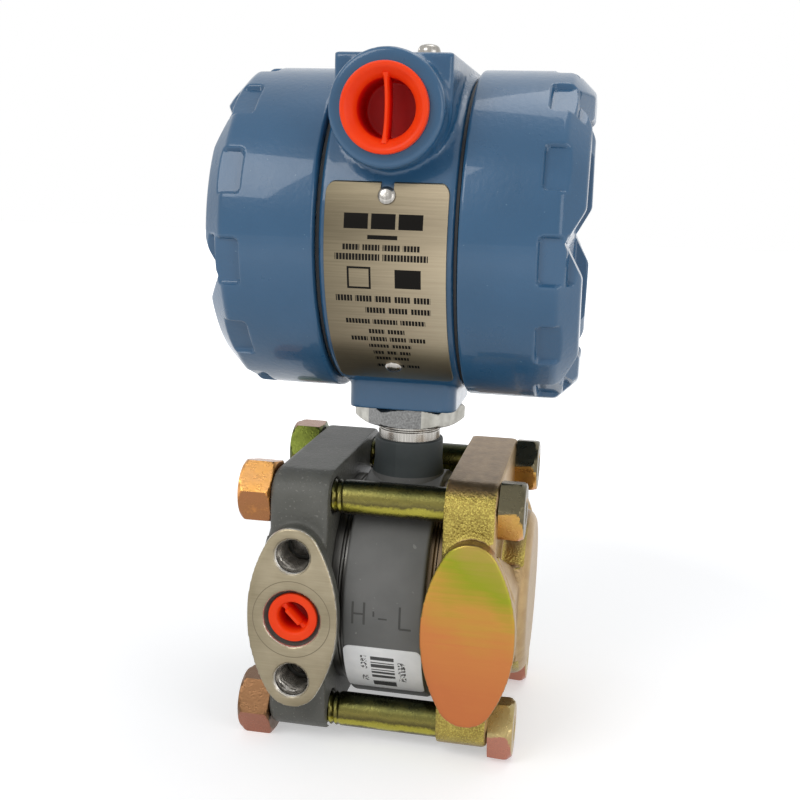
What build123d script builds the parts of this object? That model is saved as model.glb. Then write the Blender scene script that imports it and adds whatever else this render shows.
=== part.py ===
from build123d import *
from math import acos, cos, degrees, radians, sin, sqrt
import os

# Two-flange pressure transmitter. Millimetres, +Z up. The neck stands on the Z axis, the covers lie along X,
# the process connection and the nameplate face -Y, and the nuts and bolt heads rest on Z = 0.

# Flange bolts
bolt_d = 11.1
bolt_span_y = 57.4
bolt_span_z = 73.4
bolt_hole_clearance = 0.8
nut_af = 19.05
nut_height = 10.9
nut_turn = 11.5
head_af = 17.46
head_height = 7.9
bolt_stick_out = 1.0

# Sensor module and neck
bolt_gap = 2.04
module_r = sqrt(bolt_span_y**2 + bolt_span_z**2) / 2 - bolt_d / 2 - bolt_gap
module_width = 26.0
step_drop = 3.5
step_ring_width = 5.2
ring_clearance = 0.5
module_edge = 1.2
cell_bore_r = 21.0
cell_width = 30.0
cell_groove_width = 3.0
cell_groove_depth = 1.0
diaphragm_t = 0.8
diaphragm_rim = 2.5
tube_r = 11.5
tube_length = 12.3
tube_flare = 1.3
neck_thread_r = 10.0
neck_stand = 2.0
neck_bore_r = 5.0
thread_chamfer = 1.0

# Process flanges
flange_width = 78.0
flange_top = 45.5
flange_bottom = 42.5
flange_corner_r = 9.0
flange_edge = 2.0
high_thickness = 19.0
low_thickness = 16.6
pad_reach = 45.2
pad_half_width = 14.8
pad_thickness = 4.6
pad_root_length = 12.0
pad_root_draft = 32.0
pad_offset = 9.6
tapped_spacing = 41.3
tapped_depth = 15.0
pad_tip_r = 9.25
crown_r = 28.0
crown_reach = 26.2
crown_edge = 5.0
rib_reach = 23.3
rib_waist = 17.0
rib_half_width = 13.0
rib_end_half_width = 25.0
port_mouth_r = 9.25
port_mouth_depth = 3.0
port_r = 6.9
port_depth = 18.0
passage_r = 3.0
chamber_r = 20.0
chamber_depth = 2.5
gasket_groove_r = 25.0
gasket_width = 2.6
gasket_depth = 1.8
vent_hex_af = 12.7
vent_body_r = 5.6
vent_hex_height = 4.5
vent_bore_r = 2.8
vent_bore_depth = 7.5
vent_floor = 3.0
vent_stem_r = 2.5
vent_stem_af = 6.4
vent_stem_grip = 5.0
vent_stem_rise = 1.0

# Housing
housing_rise = 119.4
barrel_r = 49.5
barrel_half = 19.7
barrel_edge = 0.6
cover_gap = 0.8
thread_neck_drop = 3.2
thread_neck_r = barrel_r - thread_neck_drop
thread_neck_length = 15.5
bore_wall = 4.8
bore_r = thread_neck_r - bore_wall
wall_t = 3.0
wall_offset = 11.0
block_half = 17.0
block_inset = 4.5
block_rise = 2.4
block_edge = 1.4
entry_drop = 15.9
boss_r = 16.4
boss_length = 9.0
boss_edge = 1.2
entry_r = 10.4
neck_block_width = 35.0
neck_block_stand = 6.5
neck_block_corner = 4.0
lock_nut_af = 32.0
lock_nut_height = 6.4
lock_nut_turn = 10.0
lock_nut_chamfer = 1.6
lock_nut_chamfer_height = 1.0
thread_clearance = 0.3

# Covers
cover_rise = 1.7
cover_r = barrel_r + cover_rise
cover_taper = 0.3
cover_lip = 0.4
cover_lip_width = 2.6
cover_length = 35.1
cone_length = 5.1
cone_drop = 5.0
rim_length = 1.6
rim_drop = 1.6
ring_width = 13.7
ring_inner_r = cover_r - ring_width
ring_depth = 5.2
ring_draft = 0.8
end_wall = 4.0
thread_relief = 1.8
pocket_count = 12
pocket_start = 22.9
pocket_depth = 2.0
pocket_floor_r = cover_r - pocket_depth
pocket_angle = 16.0
pocket_corner = 1.4
right_phase = -4.6
left_phase = 8.9
notch_depth = 5.3
notch_start = 30.9
vee_half_width = 11.3
vee_offset = 5.6
vee_start = 4.0
seal_thickness = 1.9

# Nameplate and adjusters
plate_half = 17.8
plate_t = 0.7
plate_top_angle = 18.6
plate_bottom_angle = -62.0
plate_corner = 2.6
plate_notch_width = 3.8
plate_notch_depth = 1.6
drive_screw_r = 2.6
drive_screw_dome = 1.3
drive_screw_top_inset = 3.6
drive_screw_bottom_inset = 9.2
drive_pin_r = 1.2
drive_pin_length = 4.0
drive_pin_clearance = 0.05
adjuster_r = 3.0
adjuster_spacing = 12.0
adjuster_angle = -10.0
adjuster_head = 4.0
adjuster_sink = 0.3
adjuster_shank_r = 1.6
adjuster_length = 12.0
adjuster_clearance = 0.1
slot_width = 0.9
slot_depth = 0.9

# Push-in plugs
plug_flange_r = 12.4
plug_flange_t = 2.4
plug_body_r = 10.1
plug_cup_r = 8.2
plug_depth = 16.0
plug_floor = 1.6
plug_web = 1.6
plug_web_depth = 7.0
plug_web_sink = 0.4
plug_web_grip = 0.4
plug_rim = 0.7
port_plug_flange_r = 8.0
port_plug_flange_t = 1.6
port_plug_body_r = 6.6
port_plug_cup_r = 4.8
port_plug_depth = 11.0
port_plug_tab = 1.5
port_plug_tab_depth = 5.0
port_plug_tab_turn = 45.0

# Ground screw on the conduit block
ground_x = 5.0
ground_y = -15.0
ground_head_r = 3.5
ground_head_height = 2.8
ground_slot_turn = 35.0
ground_clamp_side = 8.4
ground_clamp_t = 2.6
ground_clamp_turn = 12.0
ground_shank_r = 1.9
ground_shank_length = 4.4
hole_floor_gap = 0.5

# Inside the housing
terminal_width = 52.0
terminal_height = 22.0
terminal_t = 6.0
terminal_corner = 3.0
terminal_drop = 17.0
terminal_pitch = 13.0
terminal_count = 4
strip_height = 10.0
strip_t = 5.0
barrier_t = 1.6
barrier_rise = 3.2
terminal_head_r = 3.6
terminal_head_t = 2.2
clamp_side = 8.0
clamp_t = 1.0
fixing_head_r = 2.6
fixing_head_t = 1.8
fixing_inset = 3.2
board_gap = 4.5
board_r = bore_r - board_gap
board_t = 1.6
board_first = 23.0
board_pitch = 9.0
standoff_r = 3.0
standoff_inset = 10.5
standoff_circle_r = bore_r - standoff_inset
pillar_r = 4.5
board_screw_r = 2.6
board_screw_t = 1.8
header_r = 6.5
header_height = 5.0
ribbon_width = 9.0
ribbon_t = 0.8
ribbon_rise = 5.0
ribbon_slope = 8.0
ribbon_run = 7.0
ribbon_gap = 5.0
ribbon_bend = 1.5

# Parts on the outer board: places as shares of the board's radius, sizes in millimetres
transformer_place = (-0.24, 0.27)
transformer_size = (16.0, 13.0)
transformer_height = 7.5
transformer_corner = 1.0
capacitor_places = [(0.30, 0.38), (0.54, 0.11)]
capacitor_r = 4.0
capacitor_height = 9.0
connector_place = (0.0, -0.38)
connector_size = (24.0, 8.0)
connector_height = 6.0
trimmer_places = [(-0.60, -0.10), (0.22, -0.05)]
trimmer_side = 7.0
trimmer_height = 5.0

# Sticker on the module
sticker_width = 25.4
sticker_t = 0.2
sticker_top_angle = -14.5
sticker_bottom_angle = -47.0
sticker_corner = 2.0

# How far cuts run past a face, and joined shapes into one another
overlap = 1.0

# Places worked out from the sizes above
nut_flat = nut_af / 2
port_z = bolt_span_z / 2 + nut_flat
step_ring_r = module_r - step_drop
flange_face = module_width / 2 + step_ring_width
high_seat = flange_face + high_thickness
low_seat = flange_face + low_thickness
crown_top = flange_face + crown_reach
pad_x = flange_face + pad_offset
tube_top = port_z + module_r + tube_length
nut_bottom = port_z + housing_rise - barrel_r - neck_block_stand - lock_nut_height
nut_top = nut_bottom + lock_nut_height
housing_z = port_z + housing_rise
neck_top = housing_z - bore_r + neck_stand
block_reach = barrel_r - block_inset
block_top_z = housing_z + barrel_r + block_rise
entry_z = block_top_z - entry_drop
cover_start = barrel_half + cover_gap
cover_end = cover_start + cover_length
thread_neck_end = cover_start + thread_neck_length
cover_bore_r = thread_neck_r - thread_relief
notch_floor_r = cover_r - notch_depth
entry_face = block_reach + boss_length
wall_face = wall_offset + wall_t
plate_surface = barrel_r + plate_t
drive_screw_angles = [
    plate_top_angle - degrees(drive_screw_top_inset / barrel_r),
    plate_bottom_angle + degrees(drive_screw_bottom_inset / barrel_r),
]
standoff_places = [
    (standoff_circle_r * cos(radians(angle)), standoff_circle_r * sin(radians(angle)))
    for angle in (30, 150, 210, 330)
]

housing_axis = Axis((0, 0, housing_z), (1, 0, 0))
process_axis = Axis((0, 0, port_z), (1, 0, 0))
neck_axis = Axis((0, 0, 0), (0, 0, 1))
front_top_bolt = (-bolt_span_y / 2, bolt_span_z)
bolt_places = [(y, z) for y in (-bolt_span_y / 2, bolt_span_y / 2) for z in (0, bolt_span_z)]

os.makedirs("parts", exist_ok=True)


def save(part, name):
    part.label = name
    export_step(part, f"parts/{name}.step")


def along_x(x, y=0.0, z=0.0):
    """A plane whose sketch faces +X, with its own X along Y and its own Y along Z."""
    return Plane(origin=(x, y, z), x_dir=(0, 1, 0), z_dir=(1, 0, 0))


def facing_front(y, x=0.0, z=0.0):
    """A plane that faces -Y, with its own X along X and its own Y along Z."""
    return Plane(origin=(x, y, z), x_dir=(1, 0, 0), z_dir=(0, -1, 0))


def facing_rear(y, x=0.0, z=0.0):
    """A plane that faces +Y, with its own X against X and its own Y along Z."""
    return Plane(origin=(x, y, z), x_dir=(-1, 0, 0), z_dir=(0, 1, 0))


def on_barrel(angle, radius, x=0.0):
    """A plane that touches the barrel at an angle above -Y, facing outwards, with its own X along X."""
    turn = radians(angle)
    out = (0, -cos(turn), sin(turn))
    centre = (x, radius * out[1], housing_z + radius * out[2])
    return Plane(origin=centre, x_dir=(1, 0, 0), z_dir=out)


# Sensor module: drum with a step ring each side, and the neck tube with its threaded end
with BuildPart() as sensor_module:
    with BuildSketch(Plane.XZ):
        with Locations((0, port_z + module_r / 2)):
            Rectangle(module_width, module_r)
        with Locations((0, port_z + step_ring_r / 2)):
            Rectangle(2 * flange_face, step_ring_r)
    revolve(axis=process_axis)
    drum_rims = edges().filter_by(GeomType.CIRCLE).filter_by(lambda e: abs(e.radius - module_r) < 0.01)
    chamfer(drum_rims, module_edge)
    with BuildSketch(Plane.XZ):
        with BuildLine():
            Polyline(
                (0, port_z),
                (tube_r + tube_flare, port_z),
                (tube_r + tube_flare, port_z + module_r),
                (tube_r, port_z + module_r + tube_flare),
                (tube_r, tube_top - thread_chamfer),
                (tube_r - thread_chamfer, tube_top),
                (neck_thread_r, tube_top),
                (neck_thread_r, neck_top - thread_chamfer),
                (neck_thread_r - thread_chamfer, neck_top),
                (0, neck_top),
                close=True,
            )
        make_face()
    revolve(axis=neck_axis)
    with BuildSketch(along_x(-flange_face, 0, port_z)):
        Circle(cell_bore_r)
    extrude(amount=2 * flange_face, mode=Mode.SUBTRACT)
    with BuildSketch(Plane.XY.offset(port_z)):
        Circle(neck_bore_r)
    extrude(amount=neck_top - port_z, mode=Mode.SUBTRACT)
save(sensor_module.part, "sensor_module")

# Sensing cell: capsule that fills the module's bore between the diaphragms
with BuildPart() as sensing_cell:
    with BuildSketch(along_x(-cell_width / 2, 0, port_z)):
        Circle(cell_bore_r)
    extrude(amount=cell_width)
    with BuildSketch(along_x(-cell_groove_width / 2, 0, port_z)):
        Circle(cell_bore_r)
        Circle(cell_bore_r - cell_groove_depth, mode=Mode.SUBTRACT)
    extrude(amount=cell_groove_width, mode=Mode.SUBTRACT)
save(sensing_cell.part, "sensing_cell")

# Isolating diaphragms, high side and low side, on the ends of the cell
for side, name in ((-1, "diaphragm_high"), (1, "diaphragm_low")):
    with BuildPart() as diaphragm:
        with BuildSketch(along_x(side * cell_width / 2, 0, port_z)):
            Circle(cell_bore_r)
        extrude(amount=side * diaphragm_t)
        with BuildSketch(along_x(side * (cell_width / 2 + diaphragm_t), 0, port_z)):
            Circle(cell_bore_r)
            Circle(cell_bore_r - diaphragm_rim, mode=Mode.SUBTRACT)
        extrude(amount=side * (flange_face - cell_width / 2 - diaphragm_t))
    save(diaphragm.part, name)

# Process gaskets: flat rings in the grooves of the flanges
for side, name in ((-1, "gasket_high"), (1, "gasket_low")):
    with BuildPart() as gasket:
        with BuildSketch(along_x(side * flange_face, 0, port_z)):
            Circle(gasket_groove_r + gasket_width)
            Circle(gasket_groove_r, mode=Mode.SUBTRACT)
        extrude(amount=side * gasket_depth)
    save(gasket.part, name)


def pad_outline():
    """Pad of a process connection: two long arcs with round tips about the tapped holes."""
    reach = tapped_spacing / 2
    side_r = (pad_half_width**2 + reach**2 - pad_tip_r**2) / (2 * (pad_half_width - pad_tip_r))
    shift = side_r - pad_half_width
    with BuildSketch(mode=Mode.PRIVATE) as outline:
        with Locations((-shift, 0)):
            Circle(side_r)
        with Locations((shift, 0)):
            Circle(side_r, mode=Mode.INTERSECT)
        fillet(outline.vertices(), pad_tip_r)
    return outline.sketch


def flange_casting(side, thickness):
    """Process flange: plate, crown over the diaphragm, ribs out to the front and rear pads, chamber and groove."""
    back = flange_face + thickness
    rib_corners = [
        (-flange_width / 2, rib_end_half_width),
        (-rib_waist, rib_half_width),
        (rib_waist, rib_half_width),
        (flange_width / 2, rib_end_half_width),
    ]
    with BuildPart() as casting:
        with BuildSketch(along_x(side * flange_face, 0, port_z + (flange_top - flange_bottom) / 2)):
            RectangleRounded(flange_width, flange_top + flange_bottom, flange_corner_r)
        extrude(amount=side * thickness)
        fillet(edges().filter_by(lambda e: abs(e.center().X - side * back) < 0.01), flange_edge)
        with BuildSketch(along_x(side * (back - overlap), 0, port_z)):
            Circle(crown_r)
        extrude(amount=side * (crown_top - back + overlap))
        fillet(edges().filter_by(lambda e: abs(e.center().X - side * crown_top) < 0.01), crown_edge)
        with BuildSketch(along_x(side * (back - overlap), 0, port_z)):
            with BuildLine():
                Polyline(*rib_corners, *[(y, -z) for y, z in reversed(rib_corners)], close=True)
            make_face()
        extrude(amount=side * (flange_face + rib_reach - back + overlap))
        for plane in (facing_front(-pad_reach, side * pad_x, port_z), facing_rear(pad_reach, side * pad_x, port_z)):
            with BuildSketch(plane):
                add(pad_outline())
            extrude(amount=-pad_thickness)
            with BuildSketch(plane.offset(-pad_thickness)):
                add(pad_outline())
            extrude(amount=-pad_root_length, taper=pad_root_draft)
        with BuildSketch(along_x(side * flange_face, 0, port_z)):
            Circle(step_ring_r + ring_clearance)
        extrude(amount=-side * step_ring_width, mode=Mode.SUBTRACT)
        with BuildSketch(along_x(side * flange_face, 0, port_z)):
            Circle(chamber_r)
        extrude(amount=side * chamber_depth, mode=Mode.SUBTRACT)
        with BuildSketch(along_x(side * flange_face, 0, port_z)):
            Circle(gasket_groove_r + gasket_width)
            Circle(gasket_groove_r, mode=Mode.SUBTRACT)
        extrude(amount=side * gasket_depth, mode=Mode.SUBTRACT)
        with BuildSketch(along_x(side * flange_face, 0, nut_flat)):
            with Locations(*bolt_places):
                Circle((bolt_d + bolt_hole_clearance) / 2)
        extrude(amount=side * thickness, mode=Mode.SUBTRACT)
    return casting.part


# High side flange: drilled and tapped at the front, vent seat at the rear
with BuildPart() as flange_high:
    add(flange_casting(-1, high_thickness))
    front = facing_front(-pad_reach, -pad_x, port_z)
    rear = facing_rear(pad_reach, -pad_x, port_z)
    with BuildSketch(front):
        Circle(port_mouth_r)
    extrude(amount=-port_mouth_depth, mode=Mode.SUBTRACT)
    with BuildSketch(front):
        Circle(port_r)
    extrude(amount=-port_depth, mode=Mode.SUBTRACT)
    with BuildSketch(front):
        with Locations((0, tapped_spacing / 2), (0, -tapped_spacing / 2)):
            Circle(bolt_d / 2)
    extrude(amount=-tapped_depth, mode=Mode.SUBTRACT)
    with BuildSketch(front):
        Circle(passage_r)
    extrude(amount=-2 * pad_reach, mode=Mode.SUBTRACT)
    with BuildSketch(along_x(-flange_face, 0, port_z)):
        Circle(passage_r)
    extrude(amount=-pad_offset, mode=Mode.SUBTRACT)
    with BuildSketch(rear):
        Circle(vent_body_r)
    extrude(amount=-port_depth, mode=Mode.SUBTRACT)
save(flange_high.part, "flange_high")

# Low side flange: the same casting left undrilled, with a blank pad
with BuildPart() as flange_low:
    add(flange_casting(1, low_thickness))
save(flange_low.part, "flange_low")

# Flange bolts: hexagon heads on the low side, threaded ends through the nuts on the high side
head_turn = degrees(acos(nut_flat / (head_af / sqrt(3))))
with BuildPart() as flange_bolts:
    with BuildSketch(along_x(low_seat, 0, nut_flat)):
        with Locations(*bolt_places):
            RegularPolygon(head_af / 2, 6, major_radius=False, rotation=90 + head_turn)
    extrude(amount=head_height)
    bolt_length = low_seat + high_seat + nut_height + bolt_stick_out
    with BuildSketch(along_x(low_seat, 0, nut_flat)):
        with Locations(*bolt_places):
            Circle(bolt_d / 2)
    extrude(amount=-bolt_length)
save(flange_bolts.part, "flange_bolts")

# Heavy hexagon nuts on the high side, flats up and down but for the front top one
with BuildPart() as flange_nuts:
    with BuildSketch(along_x(-high_seat, 0, nut_flat)):
        for place in bolt_places:
            with Locations(place):
                RegularPolygon(nut_flat, 6, major_radius=False, rotation=-nut_turn if place == front_top_bolt else 0)
                Circle(bolt_d / 2, mode=Mode.SUBTRACT)
    extrude(amount=-nut_height)
save(flange_nuts.part, "flange_nuts")

# Vent seat: hexagon plug in the rear of the high side flange
vent_plane = facing_rear(pad_reach, -pad_x, port_z)
with BuildPart() as vent_seat:
    with BuildSketch(vent_plane):
        RegularPolygon(vent_hex_af / 2, 6, major_radius=False)
    extrude(amount=vent_hex_height)
    with BuildSketch(vent_plane):
        Circle(vent_body_r)
    extrude(amount=-vent_bore_depth - vent_floor)
    with BuildSketch(vent_plane.offset(vent_hex_height)):
        Circle(vent_bore_r)
    extrude(amount=-vent_hex_height - vent_bore_depth, mode=Mode.SUBTRACT)
save(vent_seat.part, "vent_seat")

# Vent stem: small spindle that screws in the seat
with BuildPart() as vent_stem:
    with BuildSketch(vent_plane.offset(-vent_bore_depth)):
        Circle(vent_stem_r)
    extrude(amount=vent_bore_depth + vent_hex_height + vent_stem_rise)
    with BuildSketch(vent_plane.offset(vent_hex_height + vent_stem_rise)):
        RegularPolygon(vent_stem_af / 2, 6, major_radius=False)
    extrude(amount=vent_stem_grip)
save(vent_stem.part, "vent_stem")

# Lock nut: turned hexagon with chamfered corners, jammed against the neck block
with BuildPart() as lock_nut:
    with BuildSketch(Plane.XY.offset(nut_bottom)):
        RegularPolygon(lock_nut_af / 2, 6, major_radius=False, rotation=lock_nut_turn)
        Circle(neck_thread_r + thread_clearance, mode=Mode.SUBTRACT)
    extrude(amount=lock_nut_height)
    corner_r = lock_nut_af / sqrt(3)
    with BuildSketch(Plane.XZ):
        with BuildLine():
            Polyline(
                (0, nut_bottom),
                (corner_r - lock_nut_chamfer, nut_bottom),
                (corner_r, nut_bottom + lock_nut_chamfer_height),
                (corner_r, nut_top - lock_nut_chamfer_height),
                (corner_r - lock_nut_chamfer, nut_top),
                (0, nut_top),
                close=True,
            )
        make_face()
    revolve(axis=neck_axis, mode=Mode.INTERSECT)
save(lock_nut.part, "lock_nut")

# Conduit block of the housing casting: square on top, round below, with a round boss at each end
with BuildPart() as conduit_block:
    with BuildSketch(Plane.XZ.offset(-block_reach)):
        with Locations((0, entry_z)):
            Circle(block_half)
            with Locations((0, block_top_z - entry_z + block_half)):
                Rectangle(2 * block_half, 2 * block_half, mode=Mode.SUBTRACT)
        with Locations((0, (entry_z + block_top_z) / 2)):
            Rectangle(2 * block_half, block_top_z - entry_z)
    extrude(amount=2 * block_reach)
    block_ends = edges().filter_by(lambda e: abs(abs(e.center().Y) - block_reach) < 0.01)
    fillet(block_ends, block_edge)
    for plane in (facing_front(-entry_face, 0, entry_z), facing_rear(entry_face, 0, entry_z)):
        with BuildSketch(plane):
            Circle(boss_r)
        extrude(amount=-boss_length - 2 * overlap)
    boss_rims = edges().filter_by(lambda e: abs(abs(e.center().Y) - entry_face) < 0.01)
    fillet(boss_rims, boss_edge)

# Housing casting: barrel, thread necks, conduit block with its bosses, neck block and stepped inner wall
with BuildPart() as housing:
    with BuildSketch(Plane.XZ):
        with BuildLine():
            Polyline(
                (-thread_neck_end, housing_z),
                (-thread_neck_end, housing_z + thread_neck_r - thread_chamfer),
                (-thread_neck_end + thread_chamfer, housing_z + thread_neck_r),
                (-barrel_half, housing_z + thread_neck_r),
                (-barrel_half, housing_z + barrel_r - barrel_edge),
                (-barrel_half + barrel_edge, housing_z + barrel_r),
                (barrel_half - barrel_edge, housing_z + barrel_r),
                (barrel_half, housing_z + barrel_r - barrel_edge),
                (barrel_half, housing_z + thread_neck_r),
                (thread_neck_end - thread_chamfer, housing_z + thread_neck_r),
                (thread_neck_end, housing_z + thread_neck_r - thread_chamfer),
                (thread_neck_end, housing_z),
                close=True,
            )
        make_face()
    revolve(axis=housing_axis)
    add(conduit_block.part)
    with BuildSketch(Plane.XY.offset(nut_top)):
        RectangleRounded(neck_block_width, neck_block_width, neck_block_corner)
    extrude(until=Until.NEXT)
    for side in (-1, 1):
        with BuildSketch(along_x(side * wall_face, 0, housing_z)):
            Circle(bore_r)
        extrude(amount=side * thread_neck_end, mode=Mode.SUBTRACT)
    with BuildSketch(along_x(-wall_offset, 0, housing_z)):
        Circle(bore_r)
        with Locations((0, -bore_r + wall_t / 2)):
            Rectangle(2 * bore_r, 2 * bore_r, mode=Mode.SUBTRACT)
    extrude(amount=2 * wall_offset + wall_t, mode=Mode.SUBTRACT)
    with BuildSketch(along_x(wall_offset, 0, housing_z)):
        Circle(bore_r)
        with Locations((0, bore_r - wall_t / 2)):
            Rectangle(2 * bore_r, 2 * bore_r, mode=Mode.SUBTRACT)
    extrude(amount=-2 * wall_offset - wall_t, mode=Mode.SUBTRACT)
    with BuildSketch(facing_front(-entry_face, 0, entry_z)):
        Circle(entry_r)
    extrude(amount=-2 * entry_face, mode=Mode.SUBTRACT)
    with BuildSketch(Plane.XY.offset(nut_top)):
        Circle(neck_thread_r + thread_clearance)
    extrude(amount=neck_top - nut_top + overlap, mode=Mode.SUBTRACT)
    with BuildSketch(along_x(-wall_face, 0, housing_z)):
        with Locations(*standoff_places[2:]):
            Circle(pillar_r)
    extrude(amount=2 * wall_offset + wall_t + overlap)
    for angle in drive_screw_angles:
        with BuildSketch(on_barrel(angle, barrel_r + overlap)):
            Circle(drive_pin_r + drive_pin_clearance)
        extrude(amount=-drive_pin_length - hole_floor_gap - overlap, mode=Mode.SUBTRACT)
    for x in (-adjuster_spacing / 2, adjuster_spacing / 2):
        with BuildSketch(on_barrel(adjuster_angle, barrel_r + overlap, x)):
            Circle(adjuster_r + adjuster_clearance)
        extrude(amount=-adjuster_head - overlap, mode=Mode.SUBTRACT)
        with BuildSketch(on_barrel(adjuster_angle, barrel_r + overlap, x)):
            Circle(adjuster_shank_r + adjuster_clearance)
        extrude(amount=-adjuster_length - overlap, mode=Mode.SUBTRACT)
    with BuildSketch(Plane(origin=(ground_x, ground_y, block_top_z))):
        Circle(ground_shank_r + drive_pin_clearance)
    extrude(amount=-ground_shank_length - hole_floor_gap, mode=Mode.SUBTRACT)
save(housing.part, "housing")


def screw_cover(phase):
    """Screwed cover on the +X side: cup with pockets round its shoulder and a notched ring on its end."""
    axis_z = housing_z
    shoulder = cover_end - cone_length - rim_length
    with BuildPart() as cover:
        with BuildSketch(Plane.XZ):
            with BuildLine():
                Polyline(
                    (cover_start, axis_z + thread_neck_r + thread_clearance),
                    (cover_start, axis_z + cover_r),
                    (cover_start + cover_lip, axis_z + cover_r + cover_lip),
                    (cover_start + cover_lip_width, axis_z + cover_r + cover_lip),
                    (cover_start + cover_lip_width + cover_lip, axis_z + cover_r),
                    (shoulder, axis_z + cover_r - cover_taper),
                    (shoulder + cone_length, axis_z + cover_r - cone_drop),
                    (cover_end, axis_z + cover_r - cone_drop - rim_drop),
                    (cover_end, axis_z + ring_inner_r),
                    (cover_end - ring_depth, axis_z + ring_inner_r - ring_draft),
                    (cover_end - ring_depth, axis_z),
                    (cover_end - ring_depth - end_wall, axis_z),
                    (cover_end - ring_depth - end_wall, axis_z + cover_bore_r),
                    (thread_neck_end + overlap, axis_z + cover_bore_r),
                    (thread_neck_end + overlap, axis_z + thread_neck_r + thread_clearance),
                    close=True,
                )
            make_face()
        revolve(axis=housing_axis)
        half_width = pocket_floor_r * sin(radians(pocket_angle / 2))
        pocket_length = 2 * cover_length
        for index in range(pocket_count):
            angle = phase + index * 360 / pocket_count
            floor = on_barrel(angle, pocket_floor_r, cover_start + pocket_start + pocket_length / 2)
            with BuildSketch(floor):
                RectangleRounded(pocket_length, 2 * half_width, pocket_corner)
            extrude(amount=cover_r, mode=Mode.SUBTRACT)
            if index % 2 == 0:
                deep = on_barrel(angle, notch_floor_r, cover_start + notch_start + pocket_length / 2)
                with BuildSketch(deep):
                    Rectangle(pocket_length, 2 * half_width)
                extrude(amount=cover_r, mode=Mode.SUBTRACT)
                with BuildSketch(on_barrel(angle + vee_offset, ring_inner_r - vee_start, cover_end)):
                    with BuildLine():
                        Polyline((-ring_depth, 0), (overlap, -vee_half_width), (overlap, vee_half_width), close=True)
                    make_face()
                extrude(amount=cover_r, mode=Mode.SUBTRACT)
    return cover.part


# Covers: the same piece each side, the left one turned half round the neck and screwed home at its own angle
save(screw_cover(right_phase), "cover_right")
save(Rot(0, 0, 180) * screw_cover(left_phase), "cover_left")

# Cover sealing rings in the gaps
seal_middle_r = thread_neck_r + thread_clearance + seal_thickness / 2
for side, name in ((-1, "cover_seal_left"), (1, "cover_seal_right")):
    with BuildPart() as seal:
        with BuildSketch(Plane.XZ):
            with Locations((side * (barrel_half + cover_gap / 2), housing_z + seal_middle_r)):
                Rectangle(cover_gap, seal_thickness)
        revolve(axis=housing_axis)
    save(seal.part, name)

# Nameplate: rolled sheet on the barrel, with a notch at its top
with BuildPart() as nameplate:
    with BuildSketch(along_x(-plate_half, 0, housing_z)):
        Circle(barrel_r + plate_t)
        Circle(barrel_r, mode=Mode.SUBTRACT)
    extrude(amount=2 * plate_half)
    span = radians(plate_top_angle - plate_bottom_angle)
    middle = (plate_top_angle + plate_bottom_angle) / 2
    chord = 2 * (barrel_r + plate_t) * sin(span / 2)
    with BuildSketch(on_barrel(middle, 0)):
        RectangleRounded(2 * plate_half, chord, plate_corner)
        with Locations((0, chord / 2)):
            Rectangle(plate_notch_width, 2 * plate_notch_depth, mode=Mode.SUBTRACT)
    extrude(amount=2 * barrel_r, mode=Mode.INTERSECT)
    for angle in drive_screw_angles:
        with BuildSketch(on_barrel(angle, barrel_r - overlap)):
            Circle(drive_pin_r)
        extrude(amount=2 * overlap + plate_t, mode=Mode.SUBTRACT)
save(nameplate.part, "nameplate")

# Drive screws: domed heads on the plate, pins in the barrel
with BuildPart() as drive_screws:
    for angle in drive_screw_angles:
        seat = on_barrel(angle, plate_surface)
        with BuildSketch(seat):
            Circle(drive_pin_r)
        extrude(amount=-plate_t - drive_pin_length)
        with BuildSketch(seat):
            Circle(drive_screw_r)
        extrude(amount=drive_screw_dome)
        fillet(edges(Select.LAST).group_by(Axis(seat.origin, seat.z_dir))[-1], 0.9 * drive_screw_dome)
save(drive_screws.part, "drive_screws")

# Zero and span adjusters: slotted screws in the barrel wall, hidden by the nameplate
for x, name in ((-adjuster_spacing / 2, "zero_adjuster"), (adjuster_spacing / 2, "span_adjuster")):
    with BuildPart() as adjuster:
        with BuildSketch(on_barrel(adjuster_angle, barrel_r - adjuster_head, x)):
            Circle(adjuster_r)
        extrude(amount=adjuster_head - adjuster_sink)
        with BuildSketch(on_barrel(adjuster_angle, barrel_r - adjuster_length, x)):
            Circle(adjuster_shank_r)
        extrude(amount=adjuster_length - adjuster_head)
        with BuildSketch(on_barrel(adjuster_angle, barrel_r - adjuster_sink, x)):
            Rectangle(2 * adjuster_r, slot_width)
        extrude(amount=-slot_depth, mode=Mode.SUBTRACT)
    save(adjuster.part, name)

# Conduit plugs: push-in cups with a flange and a pull web across the mouth
for plane, name in (
    (facing_front(-entry_face, 0, entry_z), "conduit_plug_front"),
    (facing_rear(entry_face, 0, entry_z), "conduit_plug_rear"),
):
    with BuildPart() as plug:
        with BuildSketch(plane):
            Circle(plug_flange_r)
        extrude(amount=plug_flange_t)
        fillet(edges().group_by(Axis.Y)[0 if plane.z_dir.Y < 0 else -1], plug_rim)
        with BuildSketch(plane):
            Circle(plug_body_r)
        extrude(amount=plug_flange_t - plug_depth)
        with BuildSketch(plane.offset(plug_flange_t)):
            Circle(plug_cup_r)
        extrude(amount=plug_floor - plug_depth, mode=Mode.SUBTRACT)
        with BuildSketch(plane.offset(plug_flange_t - plug_web_sink)):
            Rectangle(plug_web, 2 * plug_cup_r + plug_web_grip)
        extrude(amount=-plug_web_depth)
    save(plug.part, name)

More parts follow.
